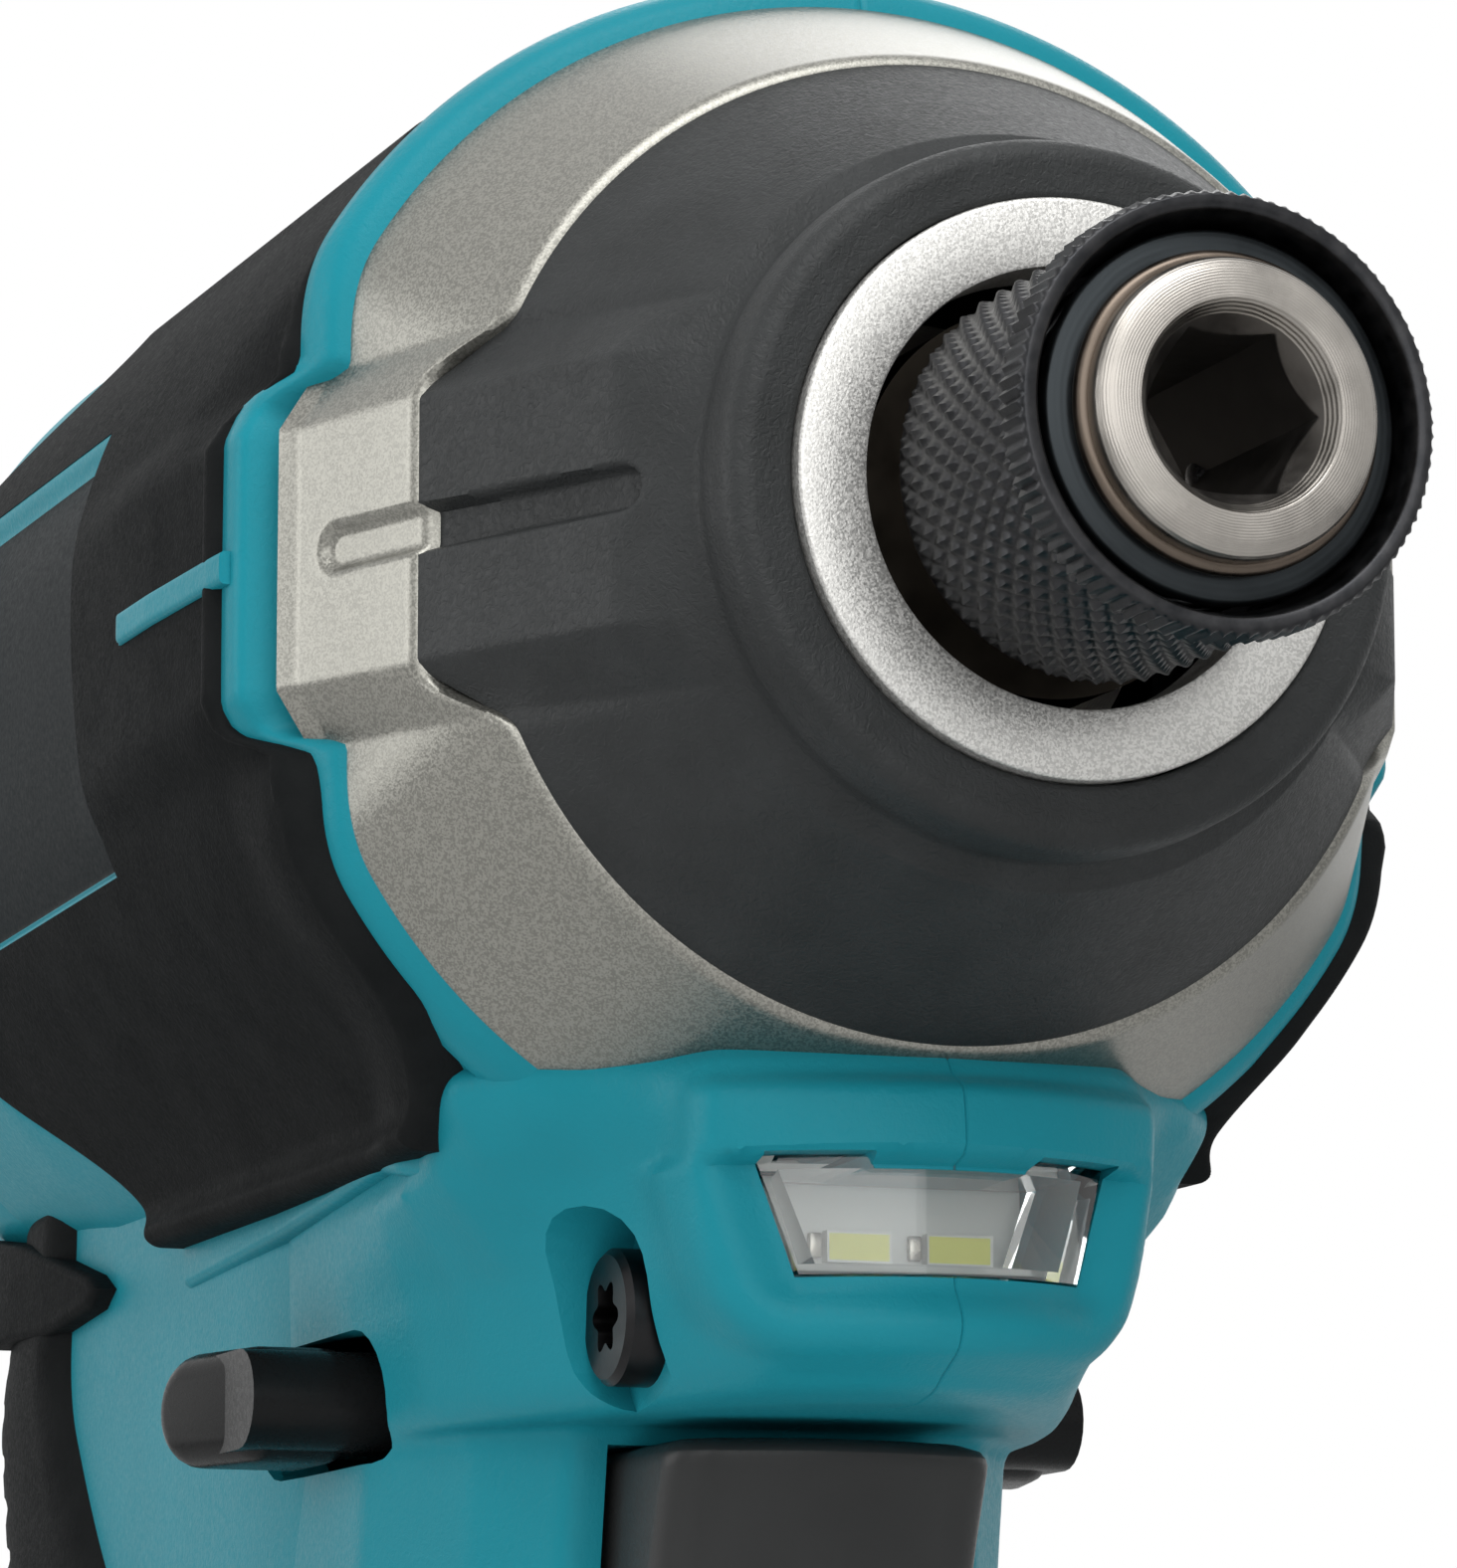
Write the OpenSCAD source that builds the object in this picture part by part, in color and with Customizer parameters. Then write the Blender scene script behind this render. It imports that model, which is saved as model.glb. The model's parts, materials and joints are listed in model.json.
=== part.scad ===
// Cordless pistol impact driver with a slide-on battery.
// +X points to the bit, +Y to the tool's left, +Z up. The origin is the centre of the battery's underside.
// Stations along the spindle are distances u from the nose face, negative towards the rear.

/* [Overall] */
// Spindle axis above the battery's underside
axis_h = 209.5; // [205:0.5:216]
// Nose face ahead of the battery's centre
nose_x = 55.5; // [52:0.5:59]

/* [Bit holder] */
// Anvil tip ahead of the nose face
tip_out = 16.6; // [15.6:0.1:18]
// Radius of the anvil shaft
anvil_r = 6.2; // [5.9:0.05:6.4]
// Hexagon socket across its flats
hex_af = 6.5; // [6.4:0.05:6.7]
// Depth of the hexagon socket
hex_depth = 13.9; // [13:0.1:14.6]
// Radius of the sleeve body
sleeve_r = 8.7; // [8.5:0.05:9]
// Radius of the serrated sleeve rim
rim_r = 9.2; // [9.1:0.05:9.6]
// Width of the serrated sleeve rim
rim_l = 2.1; // [1.6:0.1:2.6]
// Teeth around the sleeve rim
rim_teeth = 44; // [30:2:60]
// Length of the sleeve
sleeve_l = 14.9; // [14:0.1:15.2]
// Travel of the sleeve
sleeve_travel = 5; // [4:0.1:5.4]
// Radius of the bit detent balls
detent_r = 1.35; // [1.1:0.05:1.4]

/* [Hammer case] */
// Outer radius of the bright nose ring
ring_r = 12.5; // [12:0.1:13]
// Bore of the nose ring
ring_bore_r = 10.05; // [9.8:0.05:10.4]
// Radius of the bumper's front collar
collar_r = 15.3; // [14.6:0.1:16]
// Radius of the bumper's rear edge
bumper_r = 22.1; // [21.6:0.1:22.8]
// Rear edge of the bumper behind the nose face
bumper_back = 14.5; // [13.5:0.1:15.5]
// Thickness of the bumper rubber
rubber_t = 1.7; // [1.4:0.1:2]
// Radius of the case at the housing rim
case_rim_r = 27.6; // [27:0.1:28]
// Housing rim behind the nose face
rim_back = 24.3; // [23.5:0.1:25]
// Radius of the case skirt inside the housing
skirt_r = 25.2; // [24.8:0.1:25.5]
// Height of the flat side pads
pad_h = 11.6; // [10:0.2:13]
// Height of the groove along the side pads
groove_h = 2.2; // [1.6:0.1:3]

/* [Impact mechanism] */
// Radius of the hammer
hammer_r = 19.5; // [18.5:0.1:20.5]
// Length of the hammer body
hammer_l = 17; // [16:0.1:18]
// Travel of the hammer
hammer_travel = 7; // [6:0.1:7.5]
// Radius of the spindle shaft
spindle_r = 7; // [6.6:0.1:7.4]
// Radius of the anvil arms
arm_r = 17; // [16:0.1:17.3]
// Wire of the hammer spring
spring_wire = 2.6; // [2:0.1:2.8]
// Gear module
gear_m = 0.75; // [0.72:0.01:0.77]
// Width of the planet gears
planet_l = 6.4; // [5.5:0.1:7]

/* [Motor] */
// Outer radius of the motor yoke
yoke_r = 22.8; // [22:0.1:23]
// Length of the motor yoke
yoke_l = 23; // [21:0.1:24]
// Radius of the armature core
core_r = 16.6; // [15.8:0.1:16.8]
// Radius of the fan
fan_r = 20; // [18:0.1:21]
// Radius of the commutator
commutator_r = 9; // [8.4:0.1:9.4]

/* [Housing] */
// Radius of the housing barrel
barrel_r = 28.5; // [28:0.1:29.5]
// Radius of the barrel at the rear cover
tail_r = 27.2; // [26.6:0.1:27.8]
// Length of the rear cover
cover_l = 14.4; // [13:0.2:16]
// Rear of the head behind the nose face
head_l = 120.4; // [118:0.2:123]
// Thickness of the side panel rubber
panel_t = 1.2; // [0.9:0.1:1.5]
// Front to back depth of the grip
grip_depth = 42; // [39:0.5:45]
// Width of the grip
grip_w = 32.5; // [31:0.5:35]
// Thickness of the grip rubber
grip_t = 1.2; // [0.8:0.1:1.6]
// Length of the foot
foot_l = 97; // [94:0.5:100]
// Width of the foot
foot_w = 76.4; // [75.4:0.2:79]
// Underside of the chin below the spindle axis
chin_drop = 37.2; // [36.4:0.1:38]

/* [Lamp and controls] */
// Width of the lamp window along its top edge
lamp_w = 16; // [15:0.1:16.4]
// Height of the lamp window
lamp_h = 5.4; // [5:0.1:5.8]
// Centre of the lamp window below the spindle axis
lamp_drop = 28.8; // [28.4:0.1:29.2]
// Width of the trigger
trigger_w = 15.6; // [14.6:0.2:16.4]
// Height of the trigger
trigger_h = 25.4; // [23:0.2:27]
// Travel of the trigger
trigger_travel = 7; // [5:0.1:7.5]
// Width across the ends of the forward and reverse lever
lever_w = 43; // [40:0.5:45]
// Height of the lever bar
lever_h = 5; // [4:0.1:5.4]

/* [Battery] */
// Length of the battery
battery_l = 115; // [113:0.5:118]
// Width of the battery
battery_w = 75; // [73.5:0.5:78]
// Height of the battery below the foot
battery_h = 46.5; // [46:0.1:47.5]
// Height of the lower battery case
lower_h = 40.2; // [39.5:0.1:41]
// Radius of a cell
cell_r = 9.1; // [8.8:0.05:9.2]
// Length of a cell
cell_l = 65; // [63:0.5:66]
// Height of the rail block above the battery
rail_h = 13.6; // [13:0.1:14.2]
// Travel of the release button
button_travel = 3.5; // [2.5:0.1:4]

/* [Hidden] */
$fn = 64;

// Clearances and the overrun of every cut
over = 2;
run_gap = 0.05;
seam = 0.05;
slide_gap = 0.35;
face_gap = 0.5;
far = 60;

// Bit holder stations
rim_set = 1.2;
rim_wall = 0.6;
rim_tooth = 0.4;
tip_edge = 0.65;
hex_turn = 30;
lead_r = 4.3;
lead_l = 1.7;
sleeve_edge = 0.5;
washer_set = 0.9;
washer_t = 0.7;
washer_w = 1.25;
groove_d = 0.35;
ring_high = 0.4;
ring_t = 0.7;
sleeve_wire = 0.7;
sleeve_turns = 3;
sleeve_spring_out = 0.09;
rim_u = tip_out - rim_set;
sleeve_rear = rim_u - sleeve_l;
washer_front = rim_u - washer_set;
washer_rear = washer_front - washer_t;
cavity_r = anvil_r + washer_w + slide_gap;
cavity_floor = washer_rear - sleeve_travel - (sleeve_turns + 1) * sleeve_wire;
detent_u = (sleeve_rear + cavity_floor) / 2 + sleeve_edge;
detent_mid = (hex_af / 2 + anvil_r) / 2;

// Hammer case stations
ring_proud = 0.6;
ring_recess = 3.5;
bush_r = 8.5;
collar_fillet = 2;
collar_turn = 25;
case_wall = 2.2;
flange_back = 18;
flange_r = 11;
flange_t = 7;
arm_w = 11;
pilot_r = 4;
pilot_l = 7;
lug_l = 6.2;
lug_w = 12;
lug_in_r = 12;
hammer_gap = 2.15;
seat_step = 0.9;
hammer_room_r = hammer_r + hammer_gap;
gear_seat_r = hammer_room_r + seat_step;
room_u = -flange_back + face_gap;
anvil_rear = -flange_back - flange_t;
hammer_front = anvil_rear - face_gap;
hammer_rear = hammer_front - hammer_l;
carrier_front = hammer_rear - hammer_travel - face_gap;
step_u = -ring_proud - rubber_t;
// Side pads: rubber from the collar to pad_seam, bare metal from there to pad_rear
pad_front = 4.5;
pad_front_y = 16.9;
pad_seam = 18.2;
pad_seam_y = 23.2;
pad_rear = 28.2;
pad_rear_y = 27.2;
// Flat cheeks on each side of the case and of the housing's front, above and below the pads
cheek_front_y = 21.4;
cheek_rim_y = 24.6;
cheek_housing_y = 25.6;
cheek_l = 18;
pad_root_y = 12;
pad_groove_d = 0.9;
groove_front = 6;

// Spindle, gears and hammer stations
sun_teeth = 9;
planet_teeth = 21;
ring_teeth = sun_teeth + 2 * planet_teeth;
pressure_angle = 25;
addendum_share = 0.8;
dedendum_share = 1.05;
backlash = 0.14;
flank_steps = 3;
disc_t = 2.5;
rear_disc_t = 2;
disc_r = 16.5;
gear_gap = 0.3;
pin_r = 2.2;
post_w = 8;
post_in_r = 9;
hub_r = 8;
hub_bore_r = 4.8;
planet_reach = gear_m * (sun_teeth + planet_teeth) / 2;
sun_tip_r = gear_m * (sun_teeth / 2 + addendum_share);
shaft_step = 0.15;
shaft_r = sun_tip_r + shaft_step;
disc_rear = carrier_front - disc_t;
planet_front = disc_rear - gear_gap;
planet_rear = planet_front - planet_l;
back_disc_front = planet_rear - gear_gap;
back_disc_rear = back_disc_front - rear_disc_t;
bearing_l = 4.5;
bearing_r = 13;
bearing_rear = back_disc_rear - gear_gap - bearing_l;
hub_rear = bearing_rear;
cam_ball_r = 2.5;
cam_out_share = 0.2;
cam_back_share = 1.6;
pocket_in_wall = 3.2;
pocket_out_wall = 3.1;
spring_out_share = 0.15;
cam_mid_r = spindle_r + cam_out_share * cam_ball_r;
cam_u = hammer_front - cam_back_share * cam_ball_r;
pocket_in_r = spindle_r + pocket_in_wall;
pocket_out_r = hammer_r - pocket_out_wall;
pocket_l = 11.5;
spring_turns = 4;
spring_mid_r = (pocket_in_r + pocket_out_r) / 2 + spring_out_share * spring_wire;

// Gear plate and motor stations
plate_rim_t = 3;
case_rear = back_disc_front - face_gap;
holder_plate_t = 1.6;
holder_gap = 0.4;
holder_clear = 0.6;
bearing_apart = 0.8;
motor_bearing_front = bearing_rear - bearing_apart;
// The motor's own lengths fill motor_design_l; a longer or shorter head stretches them all alike
motor_design_l = 50.7;
motor_fit = (head_l + motor_bearing_front - holder_plate_t - holder_gap - holder_clear) / motor_design_l;
motor_bearing_own_l = 4;
motor_bearing_l = motor_bearing_own_l * motor_fit;
motor_bearing_r = 8;
motor_bearing_rear = motor_bearing_front - motor_bearing_l;
boss_r = 10.5;
fan_own_l = 6;
fan_own_gap = 1;
fan_l = fan_own_l * motor_fit;
fan_gap = fan_own_gap * motor_fit;
fan_front = motor_bearing_rear - fan_gap;
fan_hub_r = 7;
fan_disc_t = 1.4;
fan_blades = 9;
blade_t = 1.2;
yoke_front = fan_front - fan_l - fan_gap;
yoke_rear = yoke_front - yoke_l * motor_fit;
yoke_wall = 2.2;
magnet_t = 3.3;
magnet_span = 68;
core_set = 2;
core_front = yoke_front - core_set * motor_fit;
core_own_l = 18;
core_l = core_own_l * motor_fit;
core_rear = core_front - core_l;
core_slots = 12;
slot_w = 2.2;
slot_d = 6;
winding_own_t = 1.6;
winding_t = winding_own_t * motor_fit;
winding_set = 2;
winding_r = core_r - winding_set;
winding_in_r = 6.5;
commutator_gap = 2;
commutator_front = core_rear - winding_t - commutator_gap * motor_fit;
commutator_l = 7.5;
commutator_rear = commutator_front - commutator_l * motor_fit;
tail_shaft_r = 3;
holder_wall = 3;
holder_front = yoke_rear - holder_gap;
holder_rear = commutator_rear - holder_gap - holder_plate_t;
rear_bearing_front = holder_rear - holder_clear;
rear_bearing_rear = rear_bearing_front - motor_bearing_l;
brush_w = 5;
brush_own_l = 5.6;
brush_l = brush_own_l * motor_fit;
brush_out_r = 17.5;
brush_box_wall = 1.3;
motor_room_r = yoke_r + slide_gap;
case_room_r = skirt_r + slide_gap / 2;

// Housing and rear cover
tail_back = head_l - cover_l;
rim_edge = 0.8;
barrel_swell_l = 11;
barrel_taper_l = 18;
tail_edge = 9;
tail_room_rear = holder_rear - holder_clear / 2;
tail_boss_r = 11;
cover_screw_r = 1.5;
cover_head_r = 2.6;
cover_head_t = 2;
cover_screw_l = 16;
cover_seat = 7;
cover_screw_mid = (motor_room_r + tail_r) / 2;
vent_w = 2.2;
vent_pitch = 4.6;
vent_count = 5;
vent_l = 13;
tail_vent_r = 17;
tail_vent_l = 8.8;
vent_end = 12;
side_vent_back = tail_back - vent_end;

// Side panels, as seen from the side: distances behind the nose face and heights above the axis
panel_front = 26;
panel_jog = 29.6;
panel_top = 19.5;
panel_low = 22;
panel_end = 15;
panel_rear = tail_back - panel_end;
panel_tail_h = 15;
panel_slope_l = 20;
panel_corner = 3;
plate_front_back = 56;
plate_end = 8;
plate_l = panel_rear - plate_front_back - plate_end;
plate_h = 21;
plate_lean = 4;
plate_frame = 2;
plate_deep = 0.7;
plate_t = 0.5;

// Handle and foot sections
foot_gap = 0.4;
foot_z = battery_h + foot_gap;
foot_front = 44;
foot_rear = foot_front - foot_l;
foot_sq = 7;
grip_z = 92;
neck_drop = 21.5;
neck_z = axis_h - neck_drop;
grip_low_x = -16;
grip_top_x = -13.5;
loft_steps = 18;
// Share of the way up from the foot to the grip, and of the change from foot to grip section
flare_shares = [[0, 0], [0.48, 0], [0.55, 0.015], [0.62, 0.07], [0.72, 0.25], [0.82, 0.55], [0.92, 0.85]];
// Share of the way up the grip, then depth, width and squareness of that section, and the share of its half
// outline, from front to rear, where the grip rubber starts
grip_shares = [
  [0, 1.14, 1.12, 2.7, 0.44], [0.06, 1.05, 1.07, 2.6, 0.44], [0.14, 1, 1.035, 2.5, 0.42],
  [0.3, 0.96, 1, 2.5, 0.42], [0.5, 0.98, 0.985, 2.5, 0.44], [0.62, 1.02, 0.985, 2.5, 0.47],
  [0.74, 1.09, 0.985, 2.6, 0.52], [0.87, 1.2, 1, 2.8, 0.62], [1, 1.33, 1.03, 3, 0.7]
];
grip_gap = 0.15;
// The sections that the grip rubber spans
grip_row_low = 1;
grip_row_high = 7;

// Chin below the nose, in level outlines: distance below the axis, front and corner behind the nose face,
// then the half widths at the corner, beside the lamp and at the shoulder
chin_levels = [
  [19, 15.4, 17.8, 9, 15.6, 17.4], [22.3, 14.6, 17.5, 9.8, 16.2, 18], [23.4, 13.8, 17.4, 10.4, 16.2, 18.2],
  [25.2, 13.5, 17.4, 10.5, 15, 18.2], [27, 13.35, 17.6, 10.25, 13.3, 17.6], [31, 13.3, 17.5, 9.6, 11.8, 14.4],
  [34.5, 13.8, 17.2, 8.2, 11, 13.4], [36.2, 15.4, 18, 6.6, 10, 12.6], [chin_drop, 18.4, 19.8, 4.2, 8.2, 11.4]
];
chin_lip = 13.3;
chin_lamp_back = 25;
chin_shoulder_back = 31;
chin_bow_r = 14.5;
chin_side_w = 16.2;
chin_rear = 62;
chin_rear_w = 15.4;
chin_wide_back = 48;
chin_steps = 5;
chin_seam = 0.15;
// Throat round the trigger: distance below the axis and front behind the nose face of each level outline
throat_levels = [[30, 35], [37, 35], [46, 36.5], [54, 39.5], [60, 43.5], [66, 47.5]];
throat_w = 10.2;
throat_edge = 0.9;
throat_cheek_l = 5;
throat_cheek_w = 13.3;
throat_side_l = 13;
throat_side_w = 15.7;
throat_rear = 64;
throat_rear_w = 15.2;

// Lamp
lamp_taper = 1.5;
lamp_set = 0.5;
lens_l = 3.6;
lens_gap = 0.12;
board_w = 12;
board_h = 4.2;
board_drop = 29.2;
board_t = 1;
board_back = 21.4;
chip_w = 3;
chip_h = 1.4;
chip_t = 0.6;
chip_pitch = 4.6;
chip_drop = 0.7;
chip_room = 1.8;

// Trigger, switch and lever
trigger_front = 26;
trigger_hollow = 3.6;
trigger_rear = 51;
trigger_gap = 0.5;
trigger_edge = 2.4;
trigger_steps = 8;
well_rear = 60;
plunger_r = 2.5;
plunger_grip = 2;
plunger_in = 3;
trigger_wire = 0.8;
trigger_turns = 3;
trigger_spring_r = 4.2;
switch_front = 60.4;
switch_l = 21;
switch_h = 27;
switch_w = 22;
switch_top = 38.4;
lever_front = 48.5;
lever_l = 10;
lever_mid_drop = 35;
lever_swing = 8;
lever_pivot = 73;
lever_pivot_r = 3;
lever_neck_w = 9;
lever_pin_l = 2;
lever_pin_r = 1.5;
lever_corner = 2;
lever_room_w = 26;
lever_sweep = lever_w / 2 * sin(lever_swing);

// Housing screws: behind the nose face, below the axis, and how far out the head seats
screw_r = 1.7;
screw_head_r = 3.1;
screw_head_t = 2;
screw_grip = 7;
chin_screw_back = 26.2;
chin_screw_drop = 33;
chin_screw_seat = 9;
neck_screw_back = 87;
neck_screw_drop = 34;
grip_screw_back = 62;
grip_screw_drop = 76;
low_screw_drop = 116;
low_screw_back = 68;
grip_screw_seat = 11;
foot_screw_rise = 20;
foot_screw_front = 24;
foot_screw_rear = 46;
foot_screw_seat = 20;
SCREWS = [
  [nose_x - chin_screw_back, axis_h - chin_screw_drop, chin_screw_seat],
  [nose_x - neck_screw_back, axis_h - neck_screw_drop, grip_screw_seat],
  [nose_x - grip_screw_back, axis_h - grip_screw_drop, grip_screw_seat],
  [nose_x - low_screw_back, axis_h - low_screw_drop, grip_screw_seat],
  [foot_screw_front, foot_z + foot_screw_rise, foot_screw_seat],
  [-foot_screw_rear, foot_z + foot_screw_rise, foot_screw_seat]
];

// Battery and its rails
case_corner = 9;
case_low_edge = 5;
cell_pitch = 18.8;
cell_end = 9;
cell_columns = floor((battery_l - 2 * cell_end) / cell_pitch);
cell_rows = 2;
cell_floor = 2.6;
rail_w = 60;
rail_neck_w = 52;
rail_lip = 5;
rail_rear = -44;
rail_out = 0.6;
rail_front = foot_front + rail_out;
riser_h = 13;
riser_edge = 4;
button_w = 34;
button_h = 13;
button_t = 7;
button_edge = 2.5;
button_grip_count = 3;
button_grip_t = 1;
cavity_top = foot_z + rail_h;
blade_y = 15;
blade_t_thick = 0.8;
blade_l = 15;
blade_h = 7;
blade_x = -36;
blade_set = 2;
block_l = 22;
block_h = 7;
block_w = 46;
clip_t = 0.6;
clip_h = 5.5;
clip_l = 12;
clip_slot = 3.6;
clip_room = 3;
wire_r = 1.5;
wire_y = 5;
battery_screw_r = 1.6;
battery_screw_head_r = 2.6;
battery_screw_l = 30;
battery_screw_end = 7.1;
battery_screw_x = battery_l / 2 - battery_screw_end;
battery_screw_y = 28;
battery_head_t = 1.8;
battery_head_set = 4;

function mix(a, b, t) = a + (b - a) * t;
function arc(cx, cy, r, a0, a1, n) =
  [for (i = [0:n]) let (a = mix(a0, a1, i / n)) [cx + r * cos(a), cy + r * sin(a)]];
function rounded(l, w, r) = concat(
  arc(l / 2 - r, w / 2 - r, r, 0, 90, 6), arc(r - l / 2, w / 2 - r, r, 90, 180, 6),
  arc(r - l / 2, r - w / 2, r, 180, 270, 6), arc(l / 2 - r, r - w / 2, r, 270, 360, 6));

// The spindle line: local Z runs forward along the spindle, local X points down
module on_spindle() translate([nose_x, 0, axis_h]) rotate([0, 90, 0]) children();
module turned(profile) on_spindle() rotate_extrude() polygon(profile);
module ring_piece(r_in, r_out, u_rear, u_front)
  turned([[r_in, u_rear], [r_out, u_rear], [r_out, u_front], [r_in, u_front]]);
// A side view outline, drawn as [u, height above the axis], pushed out to the tool's right
module right_prism(y_in, y_out)
  translate([nose_x, -y_in, axis_h]) rotate([90, 0, 0]) linear_extrude(y_out - y_in) children();
module both_sides() {
  children();
  mirror([0, 1, 0]) children();
}
// A box given by its low and high corners
module box(low, high) translate(low) cube(high - low);
// A box on the spindle line: u from rear to front, y to both sides, heights relative to the axis
module head_box(u_rear, u_front, half_w, z_low, z_high)
  box([nose_x + u_rear, -half_w, axis_h + z_low], [nose_x + u_front, half_w, axis_h + z_high]);

// One unbroken round wire wound along local Z from z = 0 to z = l
function coil_mid(r, wire, l, turns, rings) =
  [for (i = [0:turns * rings]) let (a = 360 * i / rings)
    [r * cos(a), r * sin(a), wire / 2 + (l - wire) * i / (turns * rings)]];
function coil_gap(mids, wire, rings) =
  min([for (i = [0:len(mids) - 1 - rings]) norm(mids[i] - mids[i + rings])]) - wire;
module coil(r, wire, l, turns, rings = 16, sides = 6) {
  mids = coil_mid(r, wire, l, turns, rings);
  last = len(mids) - 1;
  points = [for (i = [0:last], k = [0:sides - 1])
    let (a = 360 * i / rings, b = 360 * k / sides)
    mids[i] + wire / 2 * [cos(b) * cos(a), cos(b) * sin(a), sin(b)]];
  sides_faces = [for (i = [0:last - 1], k = [0:sides - 1], t = [0, 1])
    let (p = i * sides + k, q = i * sides + (k + 1) % sides)
    t == 0 ? [p, q, q + sides] : [p, q + sides, p + sides]];
  ends = concat([for (k = [1:sides - 2]) [0, k + 1, k]],
    [for (k = [1:sides - 2]) [last * sides, last * sides + k, last * sides + k + 1]]);
  echo("least gap between turns", coil_gap(mids, wire, rings));
  polyhedron(points, concat(sides_faces, ends));
}

// Involute gears: half the angle of a tooth at radius r, and the outline from radius lo to hi
function involute_angle(a) = tan(a) * 180 / PI - a;
function tooth_angle(teeth, r, grow) =
  let (pitch_r = gear_m * teeth / 2, base_r = pitch_r * cos(pressure_angle))
  90 / teeth + grow / pitch_r * 180 / PI + involute_angle(pressure_angle)
    - involute_angle(acos(min(1, base_r / max(r, base_r))));
function gear_outline(teeth, lo, hi, grow) =
  [for (i = [0:teeth - 1], side = [-1, 1], k = [0:flank_steps])
    let (f = side < 0 ? k / flank_steps : 1 - k / flank_steps,
      r = mix(lo, hi, f), a = 360 * i / teeth + side * tooth_angle(teeth, r, grow))
    [r * cos(a), r * sin(a)]];
module outer_gear(teeth, l)
  linear_extrude(l) polygon(gear_outline(teeth, gear_m * (teeth / 2 - dedendum_share),
    gear_m * (teeth / 2 + addendum_share), -backlash / 2));

// Half of a section of the handle, from a share of the way round its right side to the rear
function half_section(front, rear, half_w, sq, z, grow, from = 0) =
  [for (k = [0:loft_steps]) let (a = 180 * mix(from, 1, k / loft_steps), c = cos(a), s = sin(a))
    [(front + rear) / 2 + sign(c) * pow(abs(c), 2 / sq) * ((front - rear) / 2 + grow),
      -pow(abs(s), 2 / sq) * (half_w + grow), z]];
function grip_front(row) = mix(grip_low_x, grip_top_x, row[0]) + row[1] * grip_depth / 2;
function grip_rear(row) = mix(grip_low_x, grip_top_x, row[0]) - row[1] * grip_depth / 2;
function grip_section(row, grow, from = 0) =
  half_section(grip_front(row), grip_rear(row), row[2] * grip_w / 2, row[3],
    mix(grip_z, neck_z, row[0]), grow, from);
function flare_section(s) = let (low = grip_shares[0]) half_section(
  mix(foot_front, grip_front(low), s[1]), mix(foot_rear, grip_rear(low), s[1]),
  mix(foot_w / 2, low[2] * grip_w / 2, s[1]), mix(foot_sq, low[3], s[1]), mix(foot_z, grip_z, s[0]), 0);
// Each ring runs a little past the middle plane, where the halves are parted
function past_middle(ring) = let (last = len(ring) - 1)
  concat([ring[0] + [0, over, 0]], ring, [ring[last] + [0, over, 0]]);
handle_rings = [for (ring = concat([for (s = flare_shares) flare_section(s)],
  [for (row = grip_shares) grip_section(row, 0)])) past_middle(ring)];
// A solid through rings of equal count, closed by its end rings and by the line between each ring's ends
module loft(rings) {
  n = len(rings[0]);
  m = len(rings);
  points = [for (ring = rings, p = ring) p];
  skin = [for (i = [0:m - 2], k = [0:n - 1], t = [0, 1])
    let (p = i * n + k, q = i * n + (k + 1) % n)
    t == 0 ? [p, q, q + n] : [p, q + n, p + n]];
  // Each end is a strip between the first half of its ring and the second
  strip = [for (k = [0:ceil(n / 2) - 2], t = [0, 1]) if (t == 1 || k + 1 < n - 2 - k)
    t == 0 ? [k, k + 1, n - 2 - k] : [k, n - 2 - k, n - 1 - k]];
  ends = concat([for (f = strip) [f[0], f[2], f[1]]],
    [for (f = strip) [for (i = f) (m - 1) * n + i]]);
  polyhedron(points, concat(skin, ends));
}

// The barrel with its flat cheeks, set in from its surface by a given depth
function barrel_profile(inset) = [
  [0, -rim_back], [barrel_r - 2 * rim_edge - inset, -rim_back],
  [barrel_r - rim_edge - inset, -rim_back - rim_edge],
  [barrel_r - inset, -rim_back - barrel_swell_l], [barrel_r - inset, barrel_taper_l - tail_back],
  [tail_r - inset, -tail_back], [0, -tail_back]
];
module barrel(inset) difference() {
  turned(barrel_profile(inset));
  both_sides() beyond(rim_back, cheek_housing_y - inset, rim_back + cheek_l, barrel_r - inset, barrel_r * 2);
}
// The space beyond a sloping flat on the right side, from one station to another
module beyond(front, front_y, rear, rear_y, h) translate([nose_x, 0, axis_h - h / 2]) linear_extrude(h)
  polygon([[-front, -front_y], [-front, -far], [-rear, -far], [-rear, -rear_y]]);
// Everything in the head that the housing must clear
case_flank = [
  [ring_r, 0], [ring_r, step_u], [collar_r - rubber_t, step_u], [bumper_r - rubber_t, -bumper_back],
  [bumper_r, -bumper_back], [case_rim_r, -rim_back]
];
module head_room() {
  turned(concat([[0, over], [collar_r + chin_seam, over], [collar_r + chin_seam, 0],
    [bumper_r + chin_seam, chin_seam - bumper_back], [case_rim_r + chin_seam, chin_seam - rim_back],
    [case_rim_r + chin_seam, -rim_back - chin_seam], [case_room_r, -rim_back - chin_seam],
    [case_room_r, case_rear - plate_rim_t - face_gap], [motor_room_r, case_rear - plate_rim_t - face_gap],
    [motor_room_r, -tail_back - over], [0, -tail_back - over]]));
  both_sides() pad_block(pad_rear + seam, pad_rear_y + over, pad_h / 2 + chin_seam);
}
// The flat pad on each side of the hammer case, out to a given reach
module pad_block(rear, reach, half_h)
  translate([nose_x, 0, axis_h - half_h]) linear_extrude(2 * half_h)
    polygon([[-bumper_back, -pad_root_y], [-bumper_back, -reach], [-rear, -reach], [-rear, -pad_root_y]]);

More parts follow.
